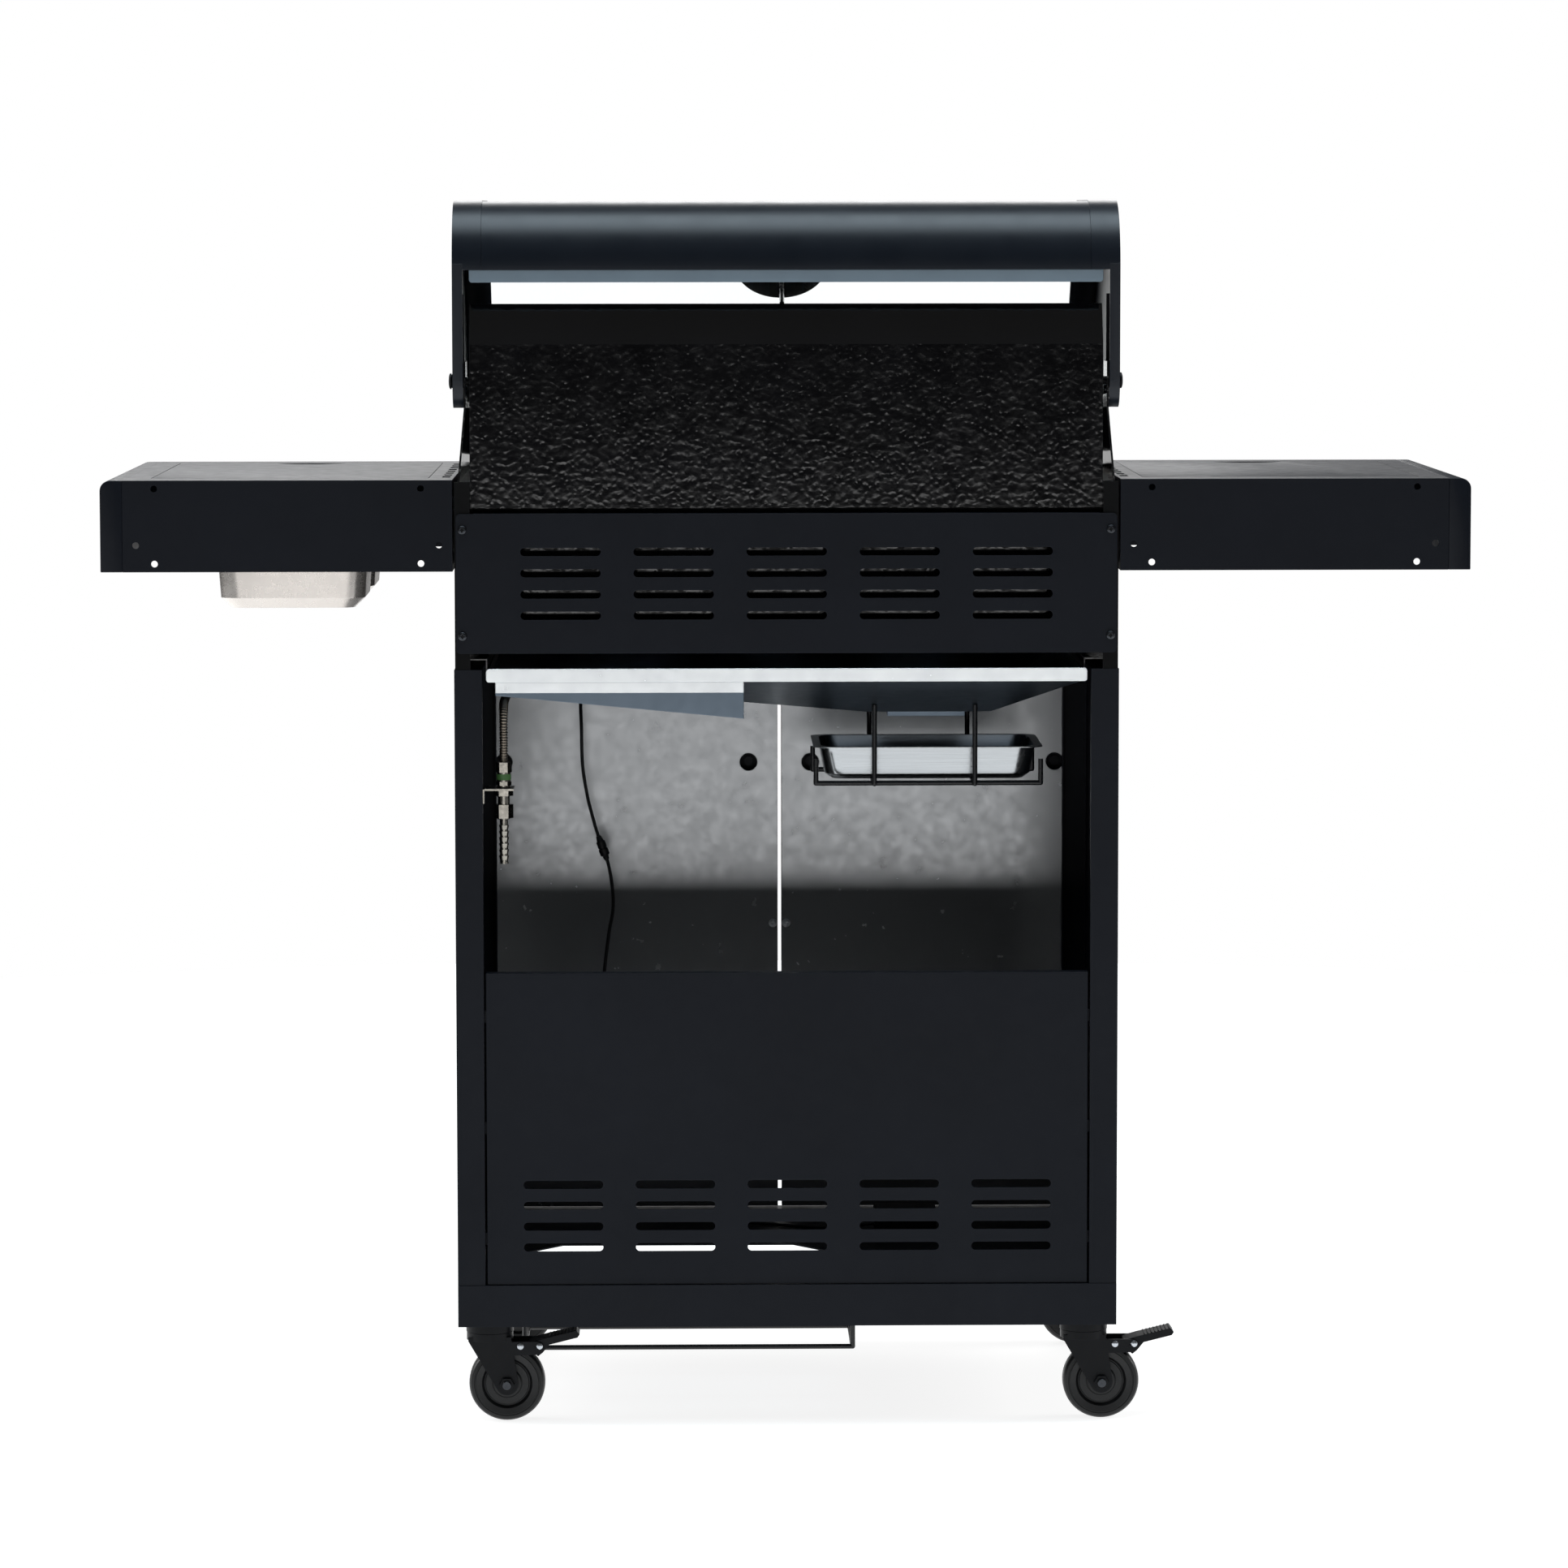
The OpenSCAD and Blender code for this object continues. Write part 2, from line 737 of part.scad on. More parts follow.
// Outer caps, closed boxes with a rounded upper edge
module shelf_end_caps() {
    r = 10;
    color("#1c1e23") both_sides() difference() {
        front_profile(1, box_d, concat(
            [[shelf_out, shelf_top], [shelf_out, shelf_bottom], [shelf_end, shelf_bottom]],
            arc([shelf_end - r, shelf_top - r], r, 0, 90, 8)));
        block(
            shelf_out + sheet, shelf_end - sheet, 1 + sheet, box_d - sheet,
            shelf_bottom - 1, shelf_top - r);
    }
}

// Lid with turned-down edges and a finger notch at the front
module shelf_lid() {
    gap = 0.6;
    w = lid_w - 2 * gap;
    d = lid_d - 2 * gap;
    s = sheet;
    mid = (lid_rear_d + lid_front_d) / 2;
    difference() {
        block(lid_x - w / 2, lid_x + w / 2, mid - d / 2, mid + d / 2, shelf_top - 13.6, shelf_top);
        block(
            lid_x - w / 2 + s, lid_x + w / 2 - s, mid - d / 2 + s, mid + d / 2 - s,
            shelf_top - 20, shelf_top - s);
        translate(at(lid_x, mid + d / 2 + 18, shelf_top - 20)) cylinder(r = 40, h = 30);
    }
}

module shelf_right_lid() {
    color("#202227") shelf_lid();
}

module shelf_left_lid() {
    color("#202227") mirror([1, 0, 0]) shelf_lid();
}

// Gastronorm pan: tapered basin under a flat rim
module food_pan(d) {
    s = 0.8;
    z = pan_rim_z + 0.4;
    wall_w = pan_w - 22;
    wall_d = pan_d - 22;
    base_w = wall_w - 12;
    base_pan_d = wall_d - 12;
    difference() {
        union() {
            rounded_block(lid_x, d, pan_w, pan_d, 10, z, z + s);
            hull() {
                rounded_block(lid_x, d, wall_w, wall_d, 18, z - 1, z);
                rounded_block(lid_x, d, base_w, base_pan_d, 20, z - pan_h + 10, z - pan_h + 11);
                rounded_block(lid_x, d, base_w - 20, base_pan_d - 20, 14, z - pan_h, z - pan_h + 1);
            }
        }
        hull() {
            rounded_block(lid_x, d, wall_w - 2 * s, wall_d - 2 * s, 17, z, z + 2);
            rounded_block(lid_x, d, base_w - 2 * s, base_pan_d - 2 * s, 19, z - pan_h + 11, z - pan_h + 12);
            rounded_block(lid_x, d, base_w - 20, base_pan_d - 20, 14, z - pan_h + s, z - pan_h + 2);
        }
    }
}

module food_pan_rear() {
    color("#d9cfc8") food_pan(pan_places[0], $fn = 24);
}

module food_pan_front() {
    color("#d9cfc8") food_pan(pan_places[1], $fn = 24);
}

// ---------- Grates, grease tray and catch pan ----------

module cooking_grates() {
    w = 303;
    bar = 7;
    n = 17;
    d = [48, 431];
    color("#2b2c2e") for (sx = [-1, 1]) translate(at(sx * (w / 2 + 1.5), (d[0] + d[1]) / 2, 900.3))
        linear_extrude(13) difference() {
            square([w, d[1] - d[0]], center = true);
            for (i = [0:n - 1], k = [-1, 1])
                translate([(i - (n - 1) / 2) * (w - bar) / n, k * (d[1] - d[0]) / 4])
                    square([(w - bar) / n - bar, (d[1] - d[0]) / 2 - 1.5 * bar], center = true);
        }
}

tray_rim_z = 735;
tray_low_z = 693;
tray_low_x = [-206, -83];
tray_low_d = [150, 260];

module grease_tray() {
    w = 287;
    d = [1.5, 430];
    s = 1;
    lip = [0.3, 1.5];
    color("#c9ced2") {
        difference() {
            union() {
                hull() {
                    block(-w, w, d[0], d[1], tray_rim_z, tray_rim_z + 1);
                    block(
                        tray_low_x[0], tray_low_x[1], tray_low_d[0], tray_low_d[1],
                        tray_low_z, tray_low_z + 1);
                }
                block(-w, w, d[0], d[1], tray_rim_z, 748);
                both_sides() block(w, w + 5.8, 60, d[1], 740, 741.5);
            }
            hull() {
                block(-w + s, w - s, d[0] + s, d[1] - s, tray_rim_z + 1, 749);
                block(tray_low_x[0] + s, tray_low_x[1] - s, tray_low_d[0] + s, tray_low_d[1] - s,
                    tray_low_z + s, tray_low_z + 2);
            }
            rod_z(-143, 205, tray_low_z - 1, tray_low_z + 3, 18);
        }
        // Rear lip and the drain guard under the outlet
        translate(at(0, lip[0], 741.5)) rotate([90, 0, 0]) linear_extrude(lip[1] - lip[0])
            rounded_rect(586, 13, 3);
        difference() {
            block(-182, -104, 178, 232, tray_low_z - 7, tray_low_z);
            block(-181, -105, 179, 231, tray_low_z - 8, tray_low_z + 1);
        }
    }
}

// Wire cradle that hangs the catch pan from the tray
module pan_holder() {
    wire = 5;
    z = 624;
    mid = -143;
    rear = 113;
    front = 277;
    reach = 112;
    stub_z = 648;
    color("#141518") {
        for (x = [mid - 46, mid + 54]) {
            rod_z(x, rear, z, 703, wire);
            rod_z(x, front, z, 697, wire);
            rod_y(x, z, rear, front, wire);
            for (d = [rear, front]) translate(at(x, d, z)) sphere(d = wire);
        }
        for (d = [rear + 8, front - 8]) {
            rod_x(mid - reach, mid + reach, d, z, wire);
            for (x = [mid - reach, mid + reach]) {
                rod_z(x, d, z, stub_z, wire);
                translate(at(x, d, z)) sphere(d = wire);
            }
        }
    }
}

module catch_pan() {
    x = -143;
    d = 195;
    w = 229;
    dep = 150;
    z0 = 627;
    z1 = 660;
    s = 0.8;
    color("#c4c6c8") difference() {
        union() {
            rounded_block(x, d, w, dep, 16, z1 - s, z1);
            hull() {
                rounded_block(x, d, w - 14, dep - 14, 20, z1 - 1.5, z1 - s);
                rounded_block(x, d, w - 24, dep - 24, 20, z0 + 5, z0 + 6);
                rounded_block(x, d, w - 38, dep - 38, 14, z0, z0 + 1);
            }
        }
        hull() {
            rounded_block(x, d, w - 14 - 2 * s, dep - 14 - 2 * s, 19, z1, z1 + 1);
            rounded_block(x, d, w - 24 - 2 * s, dep - 24 - 2 * s, 19, z0 + 6, z0 + 7);
            rounded_block(x, d, w - 38, dep - 38, 14, z0 + s, z0 + 2);
        }
    }
}

// ---------- Knobs ----------

module valve_stem(i) {
    color("#b9a878") rod_y(burner_x[i], knob_z, 476, 520, pivot_dia);
}

module knob(i) {
    x = burner_x[i];
    rear = 500.5;
    front = overall_d - screw_head_h;
    color("#2b2d31") difference() {
        union() {
            rod_y(x, knob_z, rear, rear + 8, 50);
            rod_y(x, knob_z, rear + 8, front - 2, 42);
            block(x - 6, x + 6, rear + 8, front, knob_z - 20, knob_z + 20);
        }
        rod_y(x, knob_z, rear - 1, 520.4, pivot_dia + 2 * fit);
    }
}

module valve_stem_1() { valve_stem(0); }
module valve_stem_2() { valve_stem(1); }
module valve_stem_3() { valve_stem(2); }
module valve_stem_4() { valve_stem(3); }
module knob_1() { knob(0); }
module knob_2() { knob(1); }
module knob_3() { knob(2); }
module knob_4() { knob(3); }

// ---------- Hood ----------

shell_inset = -0.8;
glass_s = [12, slope_len - 12];
shell_end_s = 20;
rail_s = slope_len - 20;

// A point s along the window slope and n outwards from it
function slope_point(s, n) = slope_start + s * slope_dir + n * slope_out;

// Outline of the hood from the rear lip up to the start of the window, offset outwards by o
function crown_path(o) = concat(
    [[hood_rear_d - o, lip_bottom + 4]],
    arc(rear_c, hood_rear_r + o, 180, 90, arc_steps),
    arc(front_c, hood_front_r + o, 90, window_lean, arc_steps));

// Outline of the hood from the foot of the window down to the front edge
function nose_path(o) = concat(
    arc(corner_c, corner_r + o, window_lean, 0, arc_steps / 2),
    [[hood_front_d + o, hood_bottom]]);

function reversed(v) = [for (i = [len(v) - 1:-1:0]) v[i]];

module hood_shell() {
    w = half - hood_rim_w;
    o = shell_inset;
    i = o - sheet;
    color("#23262b") {
        side_profile(-w, w, concat(
            crown_path(o), [slope_point(shell_end_s, o), slope_point(shell_end_s, i)],
            reversed(crown_path(i))));
        side_profile(-w, w, concat(
            [slope_point(rail_s, o)], nose_path(o), reversed(nose_path(i)), [slope_point(rail_s, i)]));
        block(-w, w, hood_front_d - 12, hood_front_d + i, hood_bottom, hood_bottom + sheet);
        // Rear lip, set in from the shell, and its rounded ends
        translate(at(0, hood_rear_d - i, lip_bottom + 5)) rotate([90, 0, 0]) linear_extrude(1.2)
            rounded_rect(2 * w + 22, 10, 3);
    }
}

// Outline of a hood end: rear edge, crown, window slope, nose, lower edge and pivot arm
end_outline = concat(
    crown_path(0), nose_path(0),
    [[262, 1007], [64, 1007]],
    arc([pivot_d, pivot_z], arm_r, -50, -180, arc_steps));

module hood_end() {
    rim_x = half - hood_rim_w;
    t = 2;
    arm_lip = 313.9;
    difference() {
        union() {
            side_profile(half - sheet, half, end_outline);
            // Rim around the crown, the slope and the nose
            side_profile(rim_x, half, concat(
                crown_path(0), nose_path(0), reversed(nose_path(-t)), reversed(crown_path(-t))));
            // Folded edges of the arm
            block(arm_lip, half, hood_rear_d, hood_rear_d + t, pivot_z, lip_bottom + 10);
            block(arm_lip, half, 56, 56 + t, 1030, lip_bottom - 20);
        }
        rod_x(half - 5, half + 1, pivot_d, pivot_z, pivot_dia + 2 * fit);
    }
}

module hood_ends() {
    color("#1f2126") both_sides() hood_end();
}

thermo_s = 52;
thermo_dia = 96;

module hood_glass() {
    w = half - hood_rim_w;
    n0 = shell_inset - sheet;
    n1 = n0 - 5;
    c = slope_point(thermo_s, 0);
    color("#9fb4b8", 0.4) difference() {
        side_profile(-w, w, [
            slope_point(glass_s[0], n0), slope_point(glass_s[1], n0),
            slope_point(glass_s[1], n1), slope_point(glass_s[0], n1),
        ]);
        translate(at(0, c[0], c[1])) rotate([90 - window_lean, 0, 0])
            cylinder(d = 12, h = 30, center = true);
    }
}

// Dial case outside the glass, threaded neck, nut and probe inside
module thermometer() {
    c = slope_point(thermo_s, 0);
    n0 = shell_inset - sheet;
    color("#3a3c40") translate(at(0, c[0], c[1])) rotate([90 - window_lean, 0, 0]) difference() {
        union() {
            cylinder(d = thermo_dia, h = 10);
            translate([0, 0, 10]) cylinder(d1 = thermo_dia, d2 = thermo_dia - 5, h = 3);
            translate([0, 0, n0]) cylinder(d = 30, h = -n0);
            translate([0, 0, n0 - 12]) cylinder(d = 12, h = 12);
            translate([0, 0, n0 - 10]) cylinder(d = 20, h = 5, $fn = 6);
            translate([0, 0, -62]) cylinder(d = 5, h = 60);
        }
        translate([0, 0, 10]) cylinder(d = thermo_dia - 9, h = 5);
    }
}

module hood_handle() {
    z = 965;
    d = hood_front_d + 45;
    x = 230;
    color("#b9bdc1") {
        rod_x(-280, 280, d, z, 22);
        for (sx = [-1, 1]) {
            rod_y(sx * x, z, hood_front_d + shell_inset, d, 16);
            rod_y(sx * x, z, hood_front_d + shell_inset, hood_front_d + 5, 30);
        }
    }
}

// ---------- Doors ----------

module door() {
    x0 = door_gap / 2;
    x1 = door_outer;
    s = sheet;
    front = door_d + door_t;
    color("#1c1e23") difference() {
        union() {
            // Outer pressing
            difference() {
                block(x0, x1, door_d, front, door_bottom, door_top);
                block(x0 + s, x1 - s, door_d - 1, front - s, door_bottom + s, door_top - s);
            }
            // Inner liner
            block(x0 + s, x1 - s, door_d, door_d + 1, door_bottom + s, door_top - s);
            // Pin bushes
            for (z = [[door_bottom, door_bottom + 16], [door_top - 16, door_top]])
                rod_z(pin_x, pin_d, z[0], z[1], 11);
        }
        for (x = handle_hole_x) rod_y(x, door_handle_z, door_d - 1, door_d + 2, handle_hole_dia);
        rod_z(pin_x, pin_d, door_bottom - 1, door_bottom + 14, pin_dia + 2 * fit);
        rod_z(pin_x, pin_d, door_top - 14, door_top + 1, pin_dia + 2 * fit);
    }
    // Bar handle, its posts and its screws
    color("#b9bdc1") {
        rod_x(handle_hole_x[0] - 12, handle_hole_x[1] + 12, front + 34, door_handle_z, 16);
        for (x = handle_hole_x) {
            rod_y(x, door_handle_z, front, front + 34, 12);
            rod_y(x, door_handle_z, front - s - 4, front, 5);
            rod_y(x, door_handle_z, front - s - 6, front - s - 3, 10);
        }
    }
}

module door_right() {
    door();
}

module door_left() {
    mirror([1, 0, 0]) door();
}

// ---------- Casters ----------

crown_top = base_z - 10.4;
crown_t = 8;
axle_z = wheel_r;
leg_t = 2;
leg_gap = wheel_w / 2 + 2;
brake_pin = [-46.8, 73.5];

// Outline of a fork leg in x and z, reaching back to the brake pin when brake is true
module leg_outline(brake) {
    hull() {
        translate([-21, crown_top - crown_t]) square([42, 4]);
        translate([-trail, axle_z]) circle(r = 11);
    }
    if (brake) hull() {
        translate([-20, 66]) square([20, 14]);
        translate(brake_pin) circle(r = 6.5);
    }
}

module caster_fork(brake) {
    difference() {
        union() {
            translate([0, 0, crown_top - crown_t]) cylinder(d = 46, h = crown_t);
            for (s = [-1, 1]) translate([0, s * leg_gap + (s > 0 ? leg_t : 0), 0]) rotate([90, 0, 0])
                linear_extrude(leg_t) leg_outline(brake, $fn = 32);
            // Axle bolt with its head and nut
            translate([-trail, leg_gap + leg_t, axle_z]) rotate([90, 0, 0])
                cylinder(d = axle_dia, h = 2 * (leg_gap + leg_t));
            for (s = [-1, 1]) translate([-trail, s * (leg_gap + leg_t + 2.5), axle_z]) rotate([90, 0, 0])
                cylinder(d = 15, h = 5, center = true, $fn = 6);
            if (brake) translate([brake_pin[0], 0, brake_pin[1]]) rotate([90, 0, 0])
                cylinder(d = 4, h = 2 * (leg_gap + leg_t) + 2, center = true);
        }
        translate([0, 0, crown_top - crown_t - 1]) cylinder(d = stem_dia - 2 + 2 * fit, h = crown_t + 2);
        // Room for the stem's riveted end
        translate([0, 0, base_z - 22.5]) cylinder(d = stem_dia + 5, h = 2.9);
    }
}

module caster_wheel() {
    translate([-trail, 0, axle_z]) rotate([90, 0, 0]) difference() {
        union() {
            rotate_extrude($fn = 64) polygon([
                [6, -10], [14, -10], [16, -9], [24, -9], [26, -wheel_w / 2], [wheel_r - 3, -wheel_w / 2],
                [wheel_r, -wheel_w / 2 + 4], [wheel_r, wheel_w / 2 - 4], [wheel_r - 3, wheel_w / 2],
                [26, wheel_w / 2], [24, 9], [16, 9], [14, 10], [6, 10],
            ]);
            cylinder(d = 16, h = 2 * leg_gap - 0.8, center = true);
        }
        cylinder(d = axle_dia + 2 * fit, h = 40, center = true);
    }
}

// Rocking brake pedal: tongue under the crown, tread and cam on a pin
module caster_pedal() {
    w = 2 * leg_gap - 1;
    translate([brake_pin[0], w / 2, brake_pin[1]]) rotate([90, 0, 0]) difference() {
        linear_extrude(w) polygon([
            [8, 2], [8, 5], [-6, 9], [-39, 17], [-42, 13], [-40, 10], [-12, 3],
            [-5.5, -5], [-1, -8.5], [3, -5.5], [6, -3],
        ]);
        translate([0, 0, -1]) cylinder(d = 4 + 2 * fit, h = w + 2);
    }
}

module place_caster(right, rear) {
    translate(at((right ? 1 : -1) * caster_x, rear ? caster_rear_d : caster_front_d, 0)) children();
}

module fork_rear_right() { color("#1a1b1e") place_caster(true, true) caster_fork(true); }
module fork_rear_left() { color("#1a1b1e") place_caster(false, true) caster_fork(true); }
module fork_front_right() { color("#1a1b1e") place_caster(true, false) caster_fork(false); }
module fork_front_left() { color("#1a1b1e") place_caster(false, false) caster_fork(false); }
module wheel_rear_right() { color("#202124") place_caster(true, true) caster_wheel(); }
module wheel_rear_left() { color("#202124") place_caster(false, true) caster_wheel(); }
module wheel_front_right() { color("#202124") place_caster(true, false) caster_wheel(); }
module wheel_front_left() { color("#202124") place_caster(false, false) caster_wheel(); }
module pedal_rear_right() { color("#1a1b1e") place_caster(true, true) caster_pedal(); }
module pedal_rear_left() { color("#1a1b1e") place_caster(false, true) caster_pedal(); }

base_pan();
side_panel_left();
side_panel_right();
lower_rear_panel();
front_header();
bottle_wire();
caster_stems();
fasteners();
firebox();
back_wall();
rear_vent_panel();
firebox_ends();
burners();
flame_tamers();
warming_rack();
control_panel();
gas_manifold();
gas_hose();
gas_inlet();
supply_lead();
lead_connector();
battery_box();
shelf_left();
shelf_right();
shelf_end_caps();
cooking_grates();
shelf_left_lid();
shelf_right_lid();
food_pan_rear();
food_pan_front();
grease_tray();
bottle_heat_shield();
pan_holder();
catch_pan();
valve_stem_1();
valve_stem_2();
valve_stem_3();
valve_stem_4();
knob_1();
knob_2();
knob_3();
knob_4();
hood_shell();
hood_ends();
hood_glass();
thermometer();
hood_handle();
door_left();
door_right();
fork_rear_left();
fork_rear_right();
fork_front_left();
fork_front_right();
wheel_rear_left();
wheel_rear_right();
wheel_front_left();
wheel_front_right();
pedal_rear_left();
pedal_rear_right();
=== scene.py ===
"""Looks of a gas barbecue grill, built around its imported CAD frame.

Lengths are in metres. x runs to the cook's right, d is the distance forward
of the cabinet's rear face and z is the height over the floor.
"""
import json
import math

import bmesh
import bpy
from mathutils import Matrix, Vector


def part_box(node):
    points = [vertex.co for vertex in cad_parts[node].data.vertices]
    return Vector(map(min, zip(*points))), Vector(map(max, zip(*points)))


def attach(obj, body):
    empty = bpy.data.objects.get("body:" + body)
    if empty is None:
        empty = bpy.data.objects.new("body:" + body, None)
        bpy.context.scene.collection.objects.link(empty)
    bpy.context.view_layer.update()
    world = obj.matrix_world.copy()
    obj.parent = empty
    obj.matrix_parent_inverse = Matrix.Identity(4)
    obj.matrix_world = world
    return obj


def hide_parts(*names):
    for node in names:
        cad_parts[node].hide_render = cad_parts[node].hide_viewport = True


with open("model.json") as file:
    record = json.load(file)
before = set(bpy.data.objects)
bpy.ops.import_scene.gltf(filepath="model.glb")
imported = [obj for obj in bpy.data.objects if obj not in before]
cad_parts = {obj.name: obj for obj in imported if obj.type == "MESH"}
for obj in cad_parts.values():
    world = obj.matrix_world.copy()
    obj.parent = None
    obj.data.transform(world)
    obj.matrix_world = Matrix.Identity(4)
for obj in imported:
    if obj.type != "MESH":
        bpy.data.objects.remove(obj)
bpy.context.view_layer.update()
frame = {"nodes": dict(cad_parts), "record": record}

REAR_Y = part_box("rear_vent_panel")[1].y
X_AXIS = Vector((1, 0, 0))
UP = Vector((0, 0, 1))
REARWARD = Vector((0, 1, 0))
FORWARD = Vector((0, -1, 0))


def at(x, d, z):
    """The point at that place across, depth and height."""
    return Vector((x, REAR_Y - d, z))


def middle(node):
    low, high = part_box(node)
    return (low + high) / 2


# ---------- Camera ----------

CAMERA_PLACE = (0.1033, 6.0675, 1.193)
CAMERA_YAW = -0.0173
CAMERA_PITCH = 0.0959
CAMERA_ROLL = -0.0011
CAMERA_LENS = 137.1


def make_camera():
    """Looks at the grill's back, from a little above its shelves."""
    data = bpy.data.cameras.new("camera")
    data.lens = CAMERA_LENS
    data.clip_end = 60
    camera = bpy.data.objects.new("camera", data)
    bpy.context.scene.collection.objects.link(camera)
    flat = math.cos(CAMERA_PITCH)
    gaze = Vector((math.sin(CAMERA_YAW) * flat, -math.cos(CAMERA_YAW) * flat,
                   -math.sin(CAMERA_PITCH)))
    turn = gaze.to_track_quat("-Z", "Y").to_matrix().to_4x4()
    roll = Matrix.Rotation(-CAMERA_ROLL, 4, gaze)
    camera.matrix_world = Matrix.Translation(CAMERA_PLACE) @ roll @ turn
    bpy.context.scene.camera = camera


# ---------- Node materials ----------

def input_of(node, name):
    """A node's input by name, or the live one of several with that name."""
    for socket in node.inputs:
        if socket.name == name and socket.enabled:
            return socket
    return node.inputs[name]


def output_of(node, name=None):
    for socket in node.outputs:
        if socket.enabled and (name is None or socket.name == name):
            return socket
    return node.outputs[0]


class Nodes:
    """A short way to build a node tree."""

    def __init__(self, name, tree=None):
        self.material = None
        if tree is None:
            self.material = bpy.data.materials.new(name)
            self.material.use_nodes = True
            tree = self.material.node_tree
        self.tree = tree
        self.shader = tree.nodes.get("Principled BSDF")
        if self.material:
            self.place = output_of(self.add("TexCoord"), "Object")

    def add(self, kind, inputs=(), **properties):
        """Adds a node; inputs are values or sockets by name."""
        node = self.tree.nodes.new("ShaderNode" + kind)
        for name, value in properties.items():
            setattr(node, name, value)
        for name, value in dict(inputs).items():
            self.put(node, name, value)
        return node

    def put(self, node, name, value):
        socket = input_of(node, name) if isinstance(name, str) else node.inputs[name]
        if isinstance(value, bpy.types.NodeSocket):
            self.tree.links.new(value, socket)
        else:
            socket.default_value = value

    def set(self, **values):
        """Sets the shader's own sockets, with _ for a space in each name."""
        for name, value in values.items():
            self.put(self.shader, name.replace("_", " "), value)

    def stretched(self, scale):
        return output_of(self.add("Mapping", {"Vector": self.place, "Scale": scale}))

    def noise(self, scale, detail=2.0, vector=None, rough=0.5, distortion=0.0):
        made = self.add("TexNoise", {
            "Vector": vector or self.place, "Scale": scale, "Detail": detail,
            "Roughness": rough, "Distortion": distortion})
        return output_of(made, "Fac")

    def warped(self, scale, amount):
        """The place, pushed about by a noise so that cells lose their straight sides."""
        push = self.add("VectorMath", operation="SCALE")
        self.put(push, 0, output_of(self.add("TexNoise", {
            "Vector": self.place, "Scale": scale, "Detail": 1.0}), "Color"))
        self.put(push, "Scale", amount)
        moved = self.add("VectorMath", operation="ADD")
        self.put(moved, 0, self.place)
        self.put(moved, 1, output_of(push, "Vector"))
        return output_of(moved, "Vector")

    def cells(self, scale, vector=None, output="Distance", feature="F1", smooth=None):
        made = self.add("TexVoronoi", {"Vector": vector or self.place, "Scale": scale},
                        feature=feature)
        if smooth is not None:
            self.put(made, "Smoothness", smooth)
        return output_of(made, output)

    def ranged(self, value, low, high, from_low=0.25, from_high=0.75):
        made = self.add("MapRange", {
            "Value": value, "From Min": from_low, "From Max": from_high,
            "To Min": low, "To Max": high})
        return output_of(made)

    def combined(self, first, second, operation="ADD"):
        made = self.add("Math", operation=operation)
        self.put(made, 0, first)
        self.put(made, 1, second)
        return output_of(made)

    def mix(self, factor, first, second):
        made = self.add("Mix", data_type="RGBA")
        self.put(made, "Factor", factor)
        self.put(made, "A", first)
        self.put(made, "B", second)
        return output_of(made, "Result")

    def grey(self, value):
        """A colour with the value in each of its channels."""
        made = self.add("CombineColor", {"Red": value, "Green": value, "Blue": value})
        return output_of(made)

    def relief(self, *layers, edge=0.0006):
        """Bump layers of (height, strength, distance) over softened edges."""
        normal = output_of(self.add("Bevel", {"Radius": edge}, samples=4))
        for height, strength, distance in layers:
            made = self.add("Bump", {"Height": height, "Strength": strength,
                                     "Distance": distance, "Normal": normal})
            normal = output_of(made)
        self.put(self.shader, "Normal", normal)

    def edges(self, radius=0.0015, reach=0.25):
        """From 0 on flat faces to 1 along sharp edges; the finishes paint their edge highlights
        with it.
        """
        soft = output_of(self.add("Bevel", {"Radius": radius}, samples=4))
        true = output_of(self.add("NewGeometry"), "Normal")
        along = self.add("VectorMath", operation="DOT_PRODUCT")
        self.put(along, 0, soft)
        self.put(along, 1, true)
        value = output_of(along, "Value")
        return self.ranged(value, 1.0, 0.0, 1.0 - reach, 1.0)


def shade(colour, factor):
    """The colour made lighter or darker by that factor."""
    return tuple(min(c * factor, 1.0) for c in colour[:3]) + (1.0,)


def srgb(red, green, blue):
    """A linear colour from the 0 to 255 values of a display."""
    def linear(value):
        value /= 255
        return value / 12.92 if value <= 0.04045 else ((value + 0.055) / 1.055) ** 2.4
    return (linear(red), linear(green), linear(blue), 1.0)


# ---------- Finishes ----------

def powder_coat(name, colour, rough=0.42):
    """Baked powder paint: fine orange peel, faintly uneven, with a painted highlight on its
    edges.
    """
    m = Nodes(name)
    cloud = m.noise(9, 3)
    specks = m.noise(2600, 1)
    body = m.mix(m.ranged(cloud, 0, 1), shade(colour, 0.86), shade(colour, 1.14))
    body = m.mix(m.ranged(specks, 0, 0.55, 0.55, 0.8), body, shade(colour, 1.6))
    # Painted highlight: sharp edges lightened towards 1.6 times the colour.
    body = m.mix(m.ranged(m.edges(), 0, 0.4, 0, 1), body, shade(colour, 1.6))
    m.put(m.shader, "Base Color", body)
    m.put(m.shader, "Roughness", m.ranged(m.noise(60, 3), rough - 0.05, rough + 0.06))
    m.set(Specular_IOR_Level=0.13, Coat_Weight=0.02, Coat_Roughness=0.3)
    m.relief((m.noise(1500, 2), 0.35, 0.00006), (m.noise(260, 2), 0.25, 0.0001))
    return m.material


